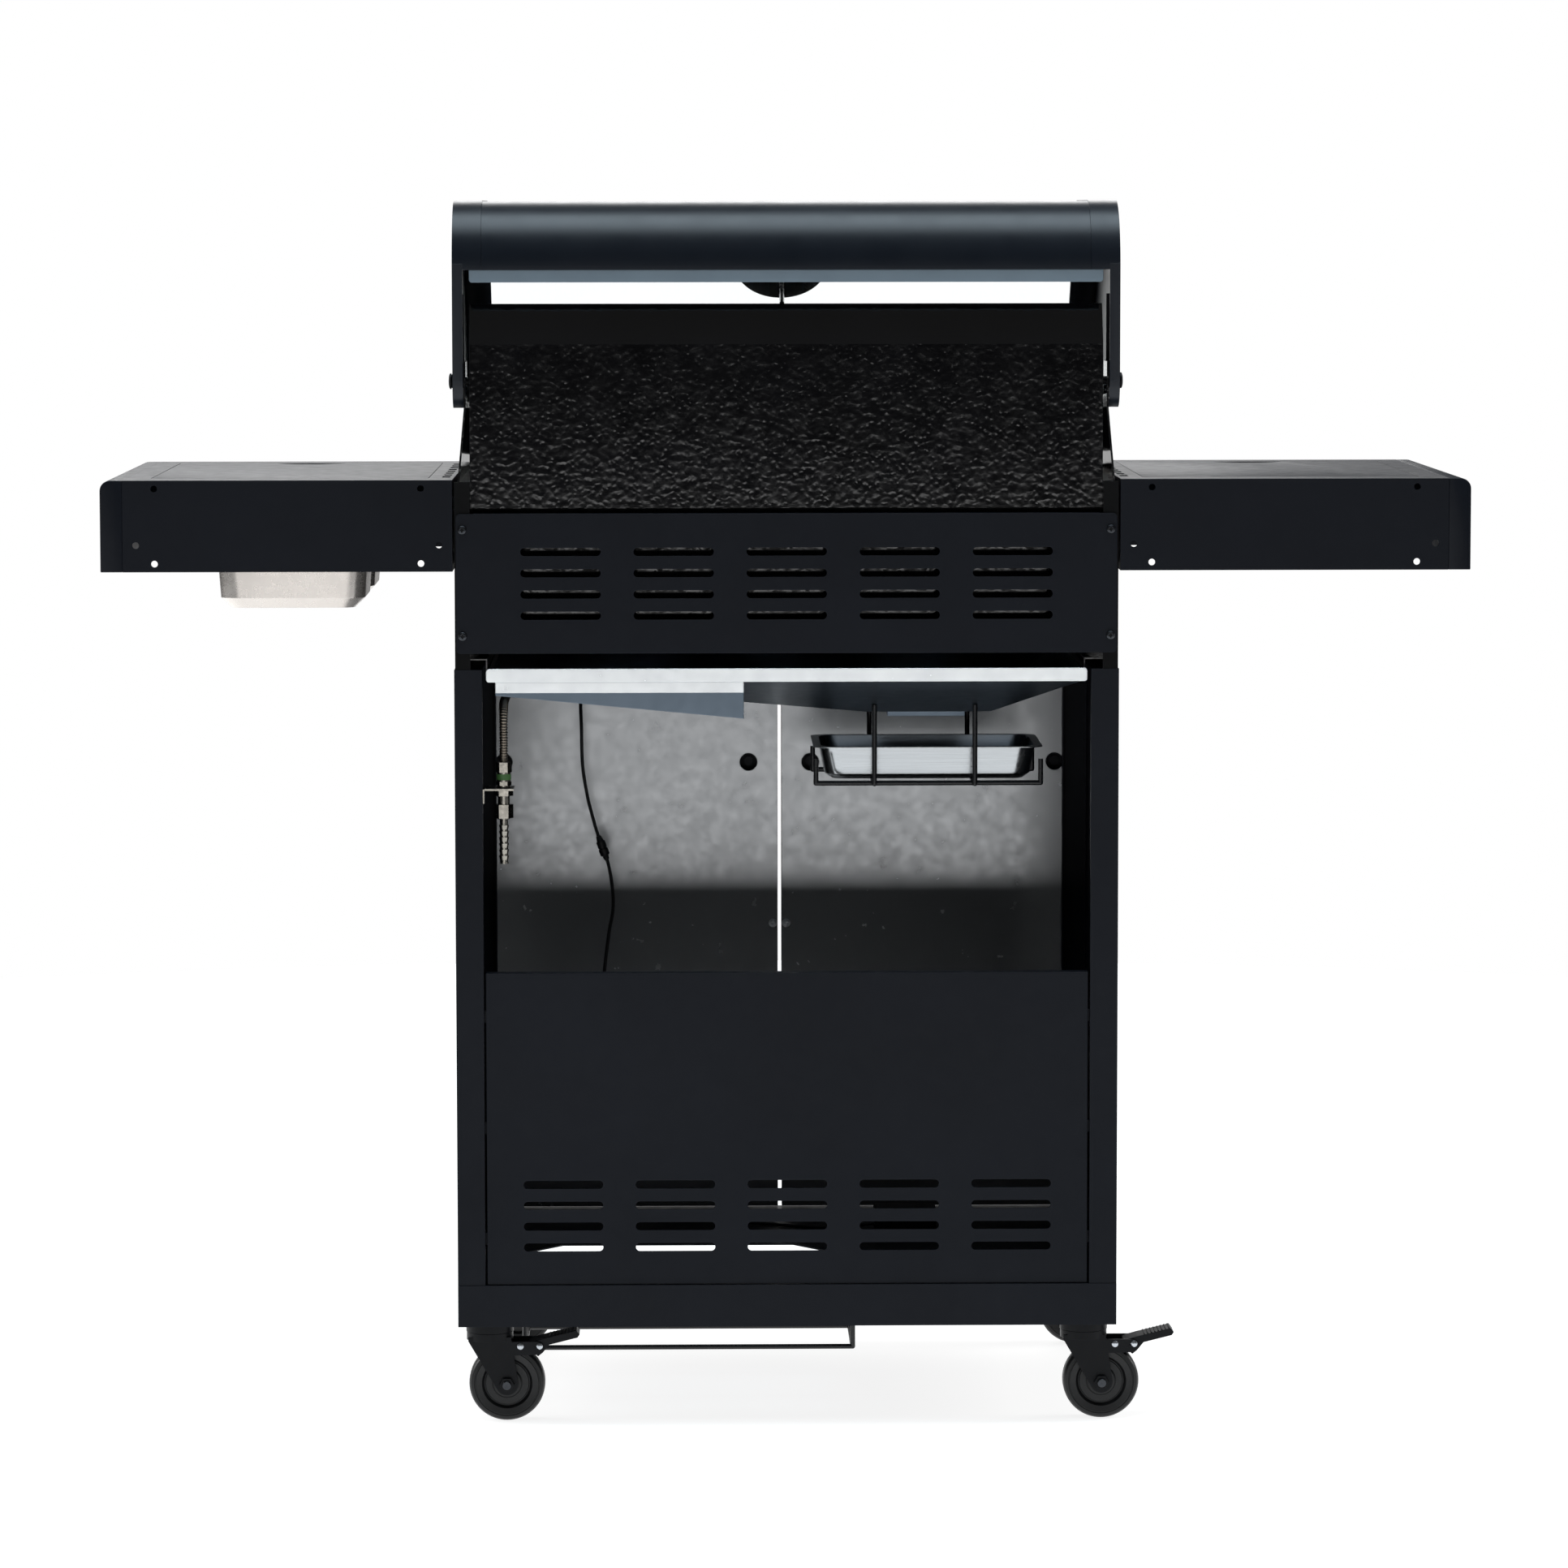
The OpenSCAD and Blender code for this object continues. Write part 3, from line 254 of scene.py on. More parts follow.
def satin_lacquer(name, colour):
    """The hood's smoother charcoal paint, with a painted highlight along its edges."""
    m = Nodes(name)
    body = m.mix(m.ranged(m.noise(5, 3), 0, 1), shade(colour, 0.9), shade(colour, 1.12))
    body = m.mix(m.ranged(m.noise(2400, 1), 0, 0.35, 0.58, 0.8), body, shade(colour, 2.0))
    # Painted highlight: sharp edges lightened towards 1.9 times the colour.
    body = m.mix(m.ranged(m.edges(), 0, 0.4, 0, 1), body, shade(colour, 1.9))
    m.put(m.shader, "Base Color", body)
    m.put(m.shader, "Roughness", m.ranged(m.noise(40, 3), 0.3, 0.38))
    m.set(Metallic=0.1, Specular_IOR_Level=0.3, Coat_Weight=0.1, Coat_Roughness=0.25)
    m.relief((m.noise(900, 2), 0.25, 0.00005), (m.noise(30, 1), 0.12, 0.0006))
    return m.material


def vitreous_enamel(name):
    """Glossy black enamel with the dimpled skin it gets from the kiln."""
    m = Nodes(name)
    colour = srgb(9, 9, 11)
    body = m.mix(m.ranged(m.noise(14, 3), 0, 1), shade(colour, 0.7), shade(colour, 1.5))
    # Painted highlight: sharp edges lightened towards a mid grey.
    body = m.mix(m.ranged(m.edges(), 0, 0.3, 0, 1), body, srgb(60, 62, 66))
    m.put(m.shader, "Base Color", body)
    m.put(m.shader, "Roughness", m.ranged(m.noise(75, 3), 0.05, 0.11))
    m.set(Coat_Weight=0.2, Coat_Roughness=0.05, IOR=1.45)
    dimples = m.cells(190, m.warped(90, 0.006), feature="SMOOTH_F1", smooth=1.0)
    m.relief((dimples, 0.1, 0.0009), (m.noise(420, 2), 0.15, 0.0001))
    return m.material


def galvanised(name):
    """Zinc-coated sheet with a soft spangle and rolling marks."""
    m = Nodes(name)
    spangle = m.cells(110, m.warped(40, 0.01), output="Color")
    tone = output_of(m.add("SeparateColor", {"Color": spangle}), "Red")
    body = m.mix(m.ranged(tone, 0, 1, 0, 1), srgb(150, 156, 162), srgb(196, 201, 206))
    body = m.mix(m.ranged(m.noise(18, 3), 0, 0.35), body, srgb(120, 126, 132))
    m.put(m.shader, "Base Color", body)
    rolled = m.noise(300, 2, m.stretched((0.04, 1, 1)))
    m.put(m.shader, "Roughness", m.combined(
        m.ranged(tone, 0.22, 0.36, 0, 1), m.ranged(rolled, -0.03, 0.05)))
    m.set(Metallic=0.95)
    m.relief((rolled, 0.2, 0.00008), (m.noise(12, 1), 0.25, 0.002))
    return m.material


def brushed_steel(name, colour, rough=0.26):
    """Stainless steel with fine brush lines that run from side to side."""
    m = Nodes(name)
    scratch_depth = 0.00006
    drawn_out = (0.012, 1, 1)
    lines = m.noise(1500, 3, m.stretched(drawn_out), rough=0.7)
    broad = m.noise(260, 2, m.stretched(drawn_out))
    body = m.mix(m.ranged(lines, 0, 1), shade(colour, 0.86), shade(colour, 1.1))
    body = m.mix(m.ranged(m.noise(16, 3), 0, 0.3), body, shade(colour, 0.82))
    m.put(m.shader, "Base Color", body)
    m.put(m.shader, "Roughness", m.combined(
        m.ranged(broad, rough - 0.05, rough + 0.07), m.ranged(lines, -0.03, 0.03)))
    m.set(Metallic=1.0, Anisotropic=0.35)
    m.relief((lines, 0.3, scratch_depth), (broad, 0.2, scratch_depth))
    return m.material


def satin_pressing(name, colour, rough=0.3, metal=1.0, cloud=0.1):
    """Pressed steel with a satin skin and no grain direction."""
    m = Nodes(name)
    body = m.mix(m.ranged(m.noise(22, 4), 0, 1), shade(colour, 1 - cloud),
                 shade(colour, 1 + cloud / 2))
    m.put(m.shader, "Base Color", body)
    m.put(m.shader, "Roughness", m.ranged(m.noise(90, 4), rough - 0.04, rough + 0.04))
    m.set(Metallic=metal)
    m.relief((m.noise(900, 2), 0.12, 0.00003), (m.noise(30, 1), 0.04, 0.0004), edge=0.0012)
    return m.material


def plated(name, colour, rough=0.24, mottle=0.2):
    """Zinc, nickel or brass on small fittings, clouded by handling."""
    m = Nodes(name)
    body = m.mix(m.ranged(m.noise(130, 4), 0, 1), shade(colour, 1 - mottle),
                 shade(colour, 1 + mottle / 2))
    # Painted highlight: sharp edges lightened towards 1.3 times the colour.
    body = m.mix(m.ranged(m.edges(0.0007), 0, 0.5, 0, 1), body, shade(colour, 1.3))
    m.put(m.shader, "Base Color", body)
    m.put(m.shader, "Roughness", m.ranged(m.noise(240, 3), rough - 0.06, rough + 0.1))
    m.set(Metallic=1.0)
    m.relief((m.noise(1800, 3), 0.14, 0.00003), edge=0.0003)
    return m.material


def cast_iron(name):
    """Matt enamelled casting with the sand's grain under the glaze."""
    m = Nodes(name)
    colour = srgb(30, 30, 32)
    grit = m.noise(700, 4, rough=0.7)
    body = m.mix(m.ranged(grit, 0, 1), shade(colour, 0.6), shade(colour, 1.5))
    body = m.mix(m.ranged(m.noise(20, 3), 0, 0.4), body, srgb(44, 40, 37))
    m.put(m.shader, "Base Color", body)
    m.put(m.shader, "Roughness", m.ranged(grit, 0.42, 0.66))
    m.set(Coat_Weight=0.2, Coat_Roughness=0.3)
    m.relief((grit, 0.6, 0.0003), (m.noise(120, 2), 0.4, 0.0006), edge=0.0015)
    return m.material


def moulded(name, colour, rough=0.45):
    """Injection-moulded plastic with a spark-eroded grain."""
    m = Nodes(name)
    body = m.mix(m.ranged(m.noise(40, 3), 0, 1), shade(colour, 0.85), shade(colour, 1.15))
    # Painted highlight: sharp edges lightened towards 1.9 times the colour.
    body = m.mix(m.ranged(m.edges(0.0008), 0, 0.35, 0, 1), body, shade(colour, 1.9))
    m.put(m.shader, "Base Color", body)
    m.put(m.shader, "Roughness", m.ranged(m.noise(500, 3), rough - 0.06, rough + 0.08))
    m.set(Specular_IOR_Level=0.45)
    m.relief((m.noise(2200, 2), 0.35, 0.00008), edge=0.0005)
    return m.material


def heat_glass(name):
    """Tempered glass with a faint green body colour."""
    m = Nodes(name)
    smears = m.noise(7, 4, distortion=0.6)
    m.put(m.shader, "Base Color", m.mix(
        m.ranged(smears, 0, 1), srgb(250, 252, 252), srgb(253, 254, 254)))
    m.put(m.shader, "Roughness", m.ranged(smears, 0.0, 0.025))
    m.set(Transmission_Weight=1.0, IOR=1.5)
    m.relief((m.noise(9, 1), 0.04, 0.0004), edge=0.0004)
    return m.material


# ---------- Mesh building ----------

def add_piece(name, bm, material, body):
    """Links a mesh as a piece of the object that rides on a CAD body."""
    bmesh.ops.remove_doubles(bm, verts=bm.verts, dist=1e-6)
    bmesh.ops.recalc_face_normals(bm, faces=bm.faces)
    mesh = bpy.data.meshes.new(name)
    bm.to_mesh(mesh)
    bm.free()
    piece = bpy.data.objects.new(name, mesh)
    bpy.context.scene.collection.objects.link(piece)
    mesh.materials.append(material)
    mesh.shade_smooth()
    sharp = piece.modifiers.new("sharp", "EDGE_SPLIT")
    sharp.split_angle = math.radians(35)
    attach(piece, body)
    return piece


def frame_of(direction):
    """Two unit vectors square to a direction."""
    direction = Vector(direction).normalized()
    guide = UP if abs(direction.z) < 0.9 else REARWARD
    side = guide.cross(direction).normalized()
    return side, direction.cross(side)


def turned(bm, profile, centre, direction, steps=48):
    """Adds a solid of revolution to bm: profile is (radius, height) from the axis back to it."""
    side, across = frame_of(direction)
    along = Vector(direction).normalized()
    rings = []
    for radius, height in profile:
        base = centre + along * height
        if radius < 1e-7:
            rings.append([bm.verts.new(base)])
            continue
        rings.append([
            bm.verts.new(base + radius * (math.cos(a) * side + math.sin(a) * across))
            for a in (2 * math.pi * k / steps for k in range(steps))])
    for near, far in zip(rings, rings[1:]):
        for k in range(steps):
            corners = [near[k % len(near)], near[(k + 1) % steps % len(near)],
                       far[(k + 1) % steps % len(far)], far[k % len(far)]]
            corners = list(dict.fromkeys(corners))
            if len(corners) > 2:
                bm.faces.new(corners)
    return bm


def ring_profile(inner, outer, low, high, soft=0.0006):
    """A closed ring's section with softened corners."""
    return [(inner, low + soft), (inner + soft, low), (outer - soft, low),
            (outer, low + soft), (outer, high - soft), (outer - soft, high),
            (inner + soft, high), (inner, high - soft), (inner, low + soft)]


def extruded(bm, outline, low, high, place):
    """Adds a prism: a flat outline, raised from low to high by place(u, v, height)."""
    bottom = [bm.verts.new(place(u, v, low)) for u, v in outline]
    top = [bm.verts.new(place(u, v, high)) for u, v in outline]
    bm.faces.new(bottom)
    bm.faces.new(list(reversed(top)))
    for k in range(len(outline)):
        nxt = (k + 1) % len(outline)
        bm.faces.new([bottom[k], top[k], top[nxt], bottom[nxt]])
    return bm


def arc_points(centre, radius, start, end, steps):
    """Points on an arc, with angles in degrees."""
    return [(centre[0] + radius * math.cos(math.radians(start + (end - start) * k / steps)),
             centre[1] + radius * math.sin(math.radians(start + (end - start) * k / steps)))
            for k in range(steps + 1)]


def swept(bm, points, radii, sides=16):
    """Adds a round tube along points, with a radius for each point."""
    points = [Vector(p) for p in points]
    side = None
    rings = []
    for k, point in enumerate(points):
        along = (points[min(k + 1, len(points) - 1)] - points[max(k - 1, 0)]).normalized()
        if side is None:
            side, _ = frame_of(along)
        side = (side - along * side.dot(along)).normalized()
        across = along.cross(side)
        rings.append([
            bm.verts.new(point + radii[k] * (math.cos(a) * side + math.sin(a) * across))
            for a in (2 * math.pi * j / sides for j in range(sides))])
    for near, far in zip(rings, rings[1:]):
        for j in range(sides):
            bm.faces.new([near[j], near[(j + 1) % sides], far[(j + 1) % sides], far[j]])
    bm.faces.new(list(reversed(rings[0])))
    bm.faces.new(rings[-1])
    return bm


def smooth_line(points, steps=8):
    """A Catmull-Rom line through the points."""
    points = [Vector(p) for p in points]
    ends = [2 * points[0] - points[1]] + points + [2 * points[-1] - points[-2]]
    line = []
    for a, b, c, e in zip(ends, ends[1:], ends[2:], ends[3:]):
        for k in range(steps):
            t = k / steps
            line.append(0.5 * ((2 * b) + (c - a) * t + (2 * a - 5 * b + 4 * c - e) * t * t
                               + (3 * b - a - 3 * c + e) * t ** 3))
    return line + [points[-1]]


# ---------- Finishes by material slot ----------

FINISHES = {
    "powder_black": powder_coat("powder_black_finish", srgb(21, 24, 31)),
    "hood_charcoal": satin_lacquer("hood_charcoal_finish", srgb(21, 27, 36)),
    "enamel_black": vitreous_enamel("enamel_black_finish"),
    "galvanised": galvanised("galvanised_finish"),
    "stainless": brushed_steel("stainless_finish", srgb(186, 188, 188)),
    "zinc": plated("zinc_finish", srgb(196, 200, 206)),
    "nickel": plated("nickel_finish", srgb(158, 154, 146), rough=0.2),
    "brass": plated("brass_finish", srgb(190, 158, 96), rough=0.25),
    "cast_iron": cast_iron("cast_iron_finish"),
    "black_wire": moulded("black_wire_finish", srgb(20, 21, 24), rough=0.3),
    "black_plastic": moulded("black_plastic_finish", srgb(22, 23, 26)),
    "caster_black": powder_coat("caster_black_finish", srgb(20, 21, 24), rough=0.36),
    "wheel_black": moulded("wheel_black_finish", srgb(11, 12, 14), rough=0.42),
    "lead_black": moulded("lead_black_finish", srgb(14, 14, 16), rough=0.5),
    "glass": heat_glass("glass_finish"),
    "handle_metal": brushed_steel("handle_metal_finish", srgb(176, 180, 184), rough=0.22),
}
LINER = satin_pressing("door_liner_finish", srgb(174, 176, 178), rough=0.24, metal=0.6,
                       cloud=0.04)
PAN_STEEL = satin_pressing("food_pan_finish", srgb(232, 225, 219), rough=0.28, metal=0.8,
                           cloud=0.05)
CATCH_STEEL = brushed_steel("catch_pan_finish", srgb(190, 193, 196), rough=0.2)
# Painted highlight: the tray's lip and the heat shield's top strip, painted near white
TRAY_LIP_HIGHLIGHT = satin_pressing("tray_lip_painted_highlight", srgb(246, 249, 252), rough=0.24, metal=0.6)
# Painted shade: the tray's underside and the heat shield below its strip, the same sheet painted
# a darker blue-grey
TRAY_UNDERSIDE_SHADE = satin_pressing("tray_underside_painted_shade", srgb(108, 120, 132), rough=0.34)
# Painted shade: near-black paint on the firebox ends' flanges that lie in the shade of the hood
FLANGE_SHADE = powder_coat("flange_painted_shade", srgb(12, 12, 13), rough=0.72)
# Painted highlight: the hood's folded rear lip, a fold of its charcoal sheet, painted light
# blue-grey
HOOD_LIP_HIGHLIGHT = satin_pressing("hood_lip_painted_highlight", srgb(130, 148, 162), rough=0.34, metal=0.3)
BRIGHT_ZINC = satin_pressing("bright_zinc_finish", srgb(238, 241, 244), rough=0.3, metal=0.4)
DARK_STEEL = plated("dark_steel_finish", srgb(70, 72, 76), rough=0.3)
GREEN_BAND = moulded("green_band_finish", srgb(70, 110, 60), rough=0.4)
HOSE_STEEL = plated("hose_steel_finish", srgb(136, 127, 116), rough=0.36, mottle=0.12)
DIAL_WHITE = moulded("dial_white_finish", srgb(214, 214, 208), rough=0.35)
DIAL_INK = moulded("dial_ink_finish", srgb(24, 24, 26), rough=0.4)
DIAL_RED = moulded("dial_red_finish", srgb(170, 34, 26), rough=0.4)


def finish_cad_nodes():
    """Gives every carried-over CAD node its slot's finish."""
    slots = {}
    for name, node in frame["nodes"].items():
        slots[name] = node.data.materials[0].name.split(".")[0]
        node.data.materials[0] = FINISHES[slots[name]]
    return slots


SLOTS = finish_cad_nodes()
BODY_OF = {name: body for body, names in frame["record"]["behaviour"]["bodies"].items()
           for name in names}


def refined(node, bevel=0.0, smooth=30, paint=None, cut_z=None):
    """Stands a welded, softened copy in for a CAD node: true rounded edges, smooth curves.

    paint is a list of further finishes and a chooser of one by a face's centre and normal.
    cut_z is a height where faces are parted, so that they can take two finishes.
    """
    bm = bmesh.new()
    bm.from_mesh(frame["nodes"][node].data)
    bmesh.ops.remove_doubles(bm, verts=bm.verts, dist=2e-6)
    bmesh.ops.dissolve_degenerate(bm, dist=1e-6, edges=bm.edges)
    bmesh.ops.dissolve_limit(bm, angle_limit=math.radians(0.4), use_dissolve_boundaries=False,
                             verts=bm.verts, edges=bm.edges)
    if cut_z:
        bmesh.ops.bisect_plane(bm, geom=list(bm.verts) + list(bm.edges) + list(bm.faces),
                               plane_co=(0, 0, cut_z), plane_no=(0, 0, 1))
    finishes, chooser = paint or ([], None)
    if chooser:
        for face in bm.faces:
            face.material_index = chooser(face.calc_center_median(), face.normal)
    mesh = bpy.data.meshes.new(node + "_made")
    bm.to_mesh(mesh)
    bm.free()
    mesh.materials.append(FINISHES[SLOTS[node]])
    for finish in finishes:
        mesh.materials.append(finish)
    mesh.shade_smooth()
    piece = bpy.data.objects.new(node + "_made", mesh)
    bpy.context.scene.collection.objects.link(piece)
    if bevel:
        rounding = piece.modifiers.new("edges", "BEVEL")
        rounding.width = bevel
        rounding.segments = 2
        rounding.limit_method = "ANGLE"
        rounding.angle_limit = math.radians(smooth)
        rounding.harden_normals = True
        rounding.miter_outer = "MITER_ARC"
    else:
        piece.modifiers.new("sharp", "EDGE_SPLIT").split_angle = math.radians(smooth)
    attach(piece, BODY_OF[node])
    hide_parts(node)
    return piece


# ---------- Supply lead ----------

LEAD_DIAMETER = 0.0035
# The route as (x, d, z), in metres, down from the header and along the cabinet floor
LEAD_UPPER = [
    (0.208, 0.440, 0.704), (0.208, 0.440, 0.697), (0.208, 0.432, 0.688), (0.208, 0.415, 0.676),
    (0.207, 0.402, 0.655), (0.206, 0.400, 0.617), (0.201, 0.400, 0.584), (0.195, 0.400, 0.560),
    (0.190, 0.400, 0.543),
]
LEAD_LOWER = [
    (0.181, 0.400, 0.518), (0.177, 0.400, 0.500), (0.175, 0.400, 0.483), (0.175, 0.400, 0.464),
    (0.179, 0.400, 0.442), (0.183, 0.400, 0.410), (0.187, 0.400, 0.370), (0.190, 0.400, 0.320),
    (0.191, 0.400, 0.270), (0.188, 0.400, 0.220), (0.180, 0.399, 0.185), (0.166, 0.397, 0.158),
    (0.148, 0.393, 0.145), (0.120, 0.385, 0.142), (0.080, 0.371, 0.142), (0.036, 0.352, 0.142),
    (0.000, 0.336, 0.142), (-0.030, 0.323, 0.142), (-0.060, 0.314, 0.143),
    (-0.080, 0.311, 0.146), (-0.095, 0.310, 0.148),
]


def make_lead():
    """The battery lead for the igniter, with its in-line connector."""
    line = smooth_line([at(*p) for p in LEAD_UPPER + LEAD_LOWER], steps=6)
    bm = swept(bmesh.new(), line, [LEAD_DIAMETER / 2] * len(line), sides=14)
    lead = add_piece("supply_lead_made", bm, FINISHES["lead_black"], "body")
    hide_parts("supply_lead")
    top, foot = at(*LEAD_UPPER[-1]), at(*LEAD_LOWER[0])
    along = (top - foot).normalized()
    span = (top - foot).length
    half_d = 0.005
    profile = [(0, 0), (0.0024, 0), (0.0028, 0.001), (0.0031, 0.004), (half_d, 0.0052),
               (half_d, 0.0118), (0.0041, 0.0122), (0.0041, 0.0128), (half_d - 0.0004, 0.0132),
               (half_d - 0.0004, span - 0.0066), (0.0036, span - 0.006), (0.0032, span - 0.004),
               (0.0026, span - 0.0005), (0, span)]
    shell = turned(bmesh.new(), profile, foot, along, steps=40)
    connector = add_piece("lead_connector_made", shell, FINISHES["black_plastic"], "body")
    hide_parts("lead_connector")


# ---------- Refined CAD shapes ----------

# Middle of the thermometer's case on the window, across the depth and height
THERMOMETER_D = 0.3088
THERMOMETER_Z = 1.1402
DIAL_LEAN = math.radians(42)
DIAL_OUT = Vector((0, -math.cos(DIAL_LEAN), math.sin(DIAL_LEAN)))
# Height above which the firebox ends' level faces are painted near black as shade, and the depth
# of their rear flanges, which are painted as shade too
FLANGE_Z = 0.92
FLANGE_DEPTH = 0.004
# Radius of the folded edges of lids, end caps and the control panel
PRESSED_EDGE = 0.0008
# From a door liner's face to the front of the door, and the depth painted as liner
DOOR_THICKNESS = 0.0205
LINER_SHEET = 0.0012
# Depth of the tray's lip, and the depth and height of the heat shield's top strip; both are
# painted near white as a highlight
TRAY_LIP_DEPTH = 0.004
SHIELD_FACE = 0.003
SHIELD_STRIP = 0.0105
# Heights between which the round plate of a caster stem lies
STEM_PLATE = (0.0885, 0.0995)


def door_chooser(front_y, liner_y):
    """Liner on the cabinet's side, bar handle in front, paint between."""
    def choose(centre, normal):
        if centre.y > liner_y:
            return 1
        return 2 if centre.y < front_y else 0
    return choose


def refine_cad_shapes():
    """Rounds and smooths the shapes that need it, and paints parts of some."""
    for node in ("shelf_end_caps", "shelf_left_lid", "shelf_right_lid", "control_panel"):
        refined(node, bevel=PRESSED_EDGE, smooth=20)
    for node in ("hood_shell", "hood_ends"):
        refined(node, smooth=12)
    for node in ("food_pan_rear", "food_pan_front"):
        refined(node, smooth=40, paint=([PAN_STEEL], lambda c, n: 1))
    refined("catch_pan", smooth=40, paint=([CATCH_STEEL], lambda c, n: 1))
    for node in ("door_left", "door_right"):
        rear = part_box(node)[1].y
        front = rear - DOOR_THICKNESS
        refined(node, paint=(
            [LINER, FINISHES["handle_metal"]], door_chooser(front, rear - LINER_SHEET)))
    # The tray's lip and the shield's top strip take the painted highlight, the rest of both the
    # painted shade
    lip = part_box("grease_tray")[1].y - TRAY_LIP_DEPTH
    refined("grease_tray", paint=(
        [TRAY_UNDERSIDE_SHADE, TRAY_LIP_HIGHLIGHT], lambda c, n: 2 if c.y > lip else 1))
    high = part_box("bottle_heat_shield")[1]
    fold = high.z - SHIELD_STRIP
    refined("bottle_heat_shield", cut_z=fold, paint=(
        [TRAY_UNDERSIDE_SHADE, TRAY_LIP_HIGHLIGHT],
        lambda c, n: 2 if c.y > high.y - SHIELD_FACE and c.z > fold else 1))
    # The firebox ends' top faces and rear flanges take the painted shade
    refined("firebox_ends", paint=(
        [FLANGE_SHADE], lambda c, n: 1 if (n.z > 0.9 and c.z > FLANGE_Z)
        or (n.y > 0.9 and c.y > REAR_Y - FLANGE_DEPTH) else 0))
    black = [FINISHES["caster_black"]]
    refined("caster_stems", paint=(
        black, lambda c, n: 1 if STEM_PLATE[0] < c.z < STEM_PLATE[1] else 0))
    dial = Vector((0, REAR_Y - THERMOMETER_D, THERMOMETER_Z))
    refined("thermometer", paint=(
        black, lambda c, n: 1 if (c - dial).dot(DIAL_OUT) > -0.001 else 0))


# ---------- Fixings ----------

def islands(node):
    """The lowest and highest corners of each separate solid of a node."""
    bm = bmesh.new()
    bm.from_mesh(frame["nodes"][node].data)
    bmesh.ops.remove_doubles(bm, verts=bm.verts, dist=2e-6)
    left = set(bm.verts)
    found = []
    while left:
        stack = [left.pop()]
        group = list(stack)
        while stack:
            for edge in stack.pop().link_edges:
                for vert in edge.verts:
                    if vert in left:
                        left.remove(vert)
                        stack.append(vert)
                        group.append(vert)
        found.append(tuple(Vector([pick(v.co[i] for v in group) for i in range(3)])
                           for pick in (min, max)))
    bm.free()
    return sorted(found, key=lambda pair: tuple(round(c, 5) for c in pair[0]))


def cross_head(bm, centre, outward, radius, height, cells=26):
    """Adds a pan head with a cross recess: a height field over a disc, with a skirt."""
    side, across = frame_of(outward)
    along = Vector(outward).normalized()
    arm, reach, sink = 0.15 * radius, 0.58 * radius, 0.85 * height
    grid = {}
    for i in range(cells + 1):
        for j in range(cells + 1):
            x, y = 2 * i / cells - 1, 2 * j / cells - 1
            u = x * math.sqrt(1 - y * y / 2) * radius
            v = y * math.sqrt(1 - x * x / 2) * radius
            r = min(math.hypot(u, v) / radius, 1.0)
            lift = height * (1 - r ** 4) ** 0.5
            near, far = sorted((abs(u), abs(v)))
            if near < arm * (1.25 - 0.4 * far / reach) and far < reach:
                lift -= sink * (1 - 0.55 * far / reach)
            grid[i, j] = bm.verts.new(centre + u * side + v * across + lift * along)
    for i in range(cells):
        for j in range(cells):
            bm.faces.new([grid[i, j], grid[i + 1, j], grid[i + 1, j + 1], grid[i, j + 1]])
    rim = [grid[i, 0] for i in range(cells)] + [grid[cells, j] for j in range(cells)]
    rim += [grid[i, cells] for i in range(cells, 0, -1)]
    rim += [grid[0, j] for j in range(cells, 0, -1)]
    skirt = [bm.verts.new(v.co - 0.4 * height * along) for v in rim]
    for k in range(len(rim)):
        nxt = (k + 1) % len(rim)
        bm.faces.new([rim[k], skirt[k], skirt[nxt], rim[nxt]])
    bm.faces.new(skirt)


def make_fixings():
    """Screw heads with their cross recesses, over the plain heads of the CAD screws."""
    bm = bmesh.new()
    pivots = bmesh.new()
    for low, high in islands("fasteners"):
        centre = (low + high) / 2
        if high.y > REAR_Y + 0.001:
            radius = (high.x - low.x) / 2
            cross_head(bm, Vector((centre.x, high.y - 0.0006, centre.z)), REARWARD,
                       radius + 0.0002, 0.0012)
        elif abs(low.z - high.z) < 0.02 and high.x - low.x > 0.01 and centre.z > 0.9:
            outward = X_AXIS if centre.x > 0 else -X_AXIS
            face = high.x if centre.x > 0 else low.x
            radius = (high.z - low.z) / 2
            profile = [(radius + 0.0003, -0.0012), (radius + 0.0003, 0.0), (radius * 0.9, 0.0007),
                       (radius * 0.6, 0.0013), (0, 0.0016)]
            turned(pivots, [(0, -0.0012)] + profile,
                   Vector((face, centre.y, centre.z)), outward, 40)
    add_piece("vent_screw_heads", bm, DARK_STEEL, "body")
    add_piece("hood_pivot_caps", pivots, FINISHES["caster_black"], "body")


# Place of the catch plate's screws: from the door's inner edge, and over the floor
CATCH_SCREW_INSET = 0.0049
CATCH_SCREW_Z = 0.4445


def make_door_screws():
    """The catch plate's screws at the inner edge of each door liner."""
    for side in ("left", "right"):
        low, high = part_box("door_" + side)
        inner = low.x if side == "right" else high.x
        sign = 1 if side == "right" else -1
        bm = bmesh.new()
        place = Vector((inner + sign * CATCH_SCREW_INSET, high.y, CATCH_SCREW_Z))
        cross_head(bm, place, REARWARD, 0.0034, 0.0017)
        turned(bm, [(0.0032, 0.0), (0.0046, 0.0), (0.0044, 0.0004), (0.0032, 0.0005)],
               place, REARWARD, 32)
        screw = add_piece(f"catch_screw_{side}", bm, BRIGHT_ZINC, side + "_door")


# ---------- Gas line ----------

HOSE_PITCH = 0.0026
# Radii of its bends and elbow, height of its level run, depth of its rise and of its ridges
HOSE_BEND = 0.022
HOSE_ELBOW = 0.0095
HOSE_RUN_Z = 0.712
HOSE_RISE_D = 0.441
HOSE_RIDGE = 0.0006
# Height range of the green band on the inlet's barb
MARKER_BAND_Z = (0.6375, 0.6435)


def quarter(centre_d, centre_z, radius, start, end, x, steps=14):
    """Points on a bend square to x, with angles in degrees."""
    return [at(x, centre_d + radius * math.cos(math.radians(start + (end - start) * k / steps)),
               centre_z + radius * math.sin(math.radians(start + (end - start) * k / steps)))
            for k in range(steps + 1)]


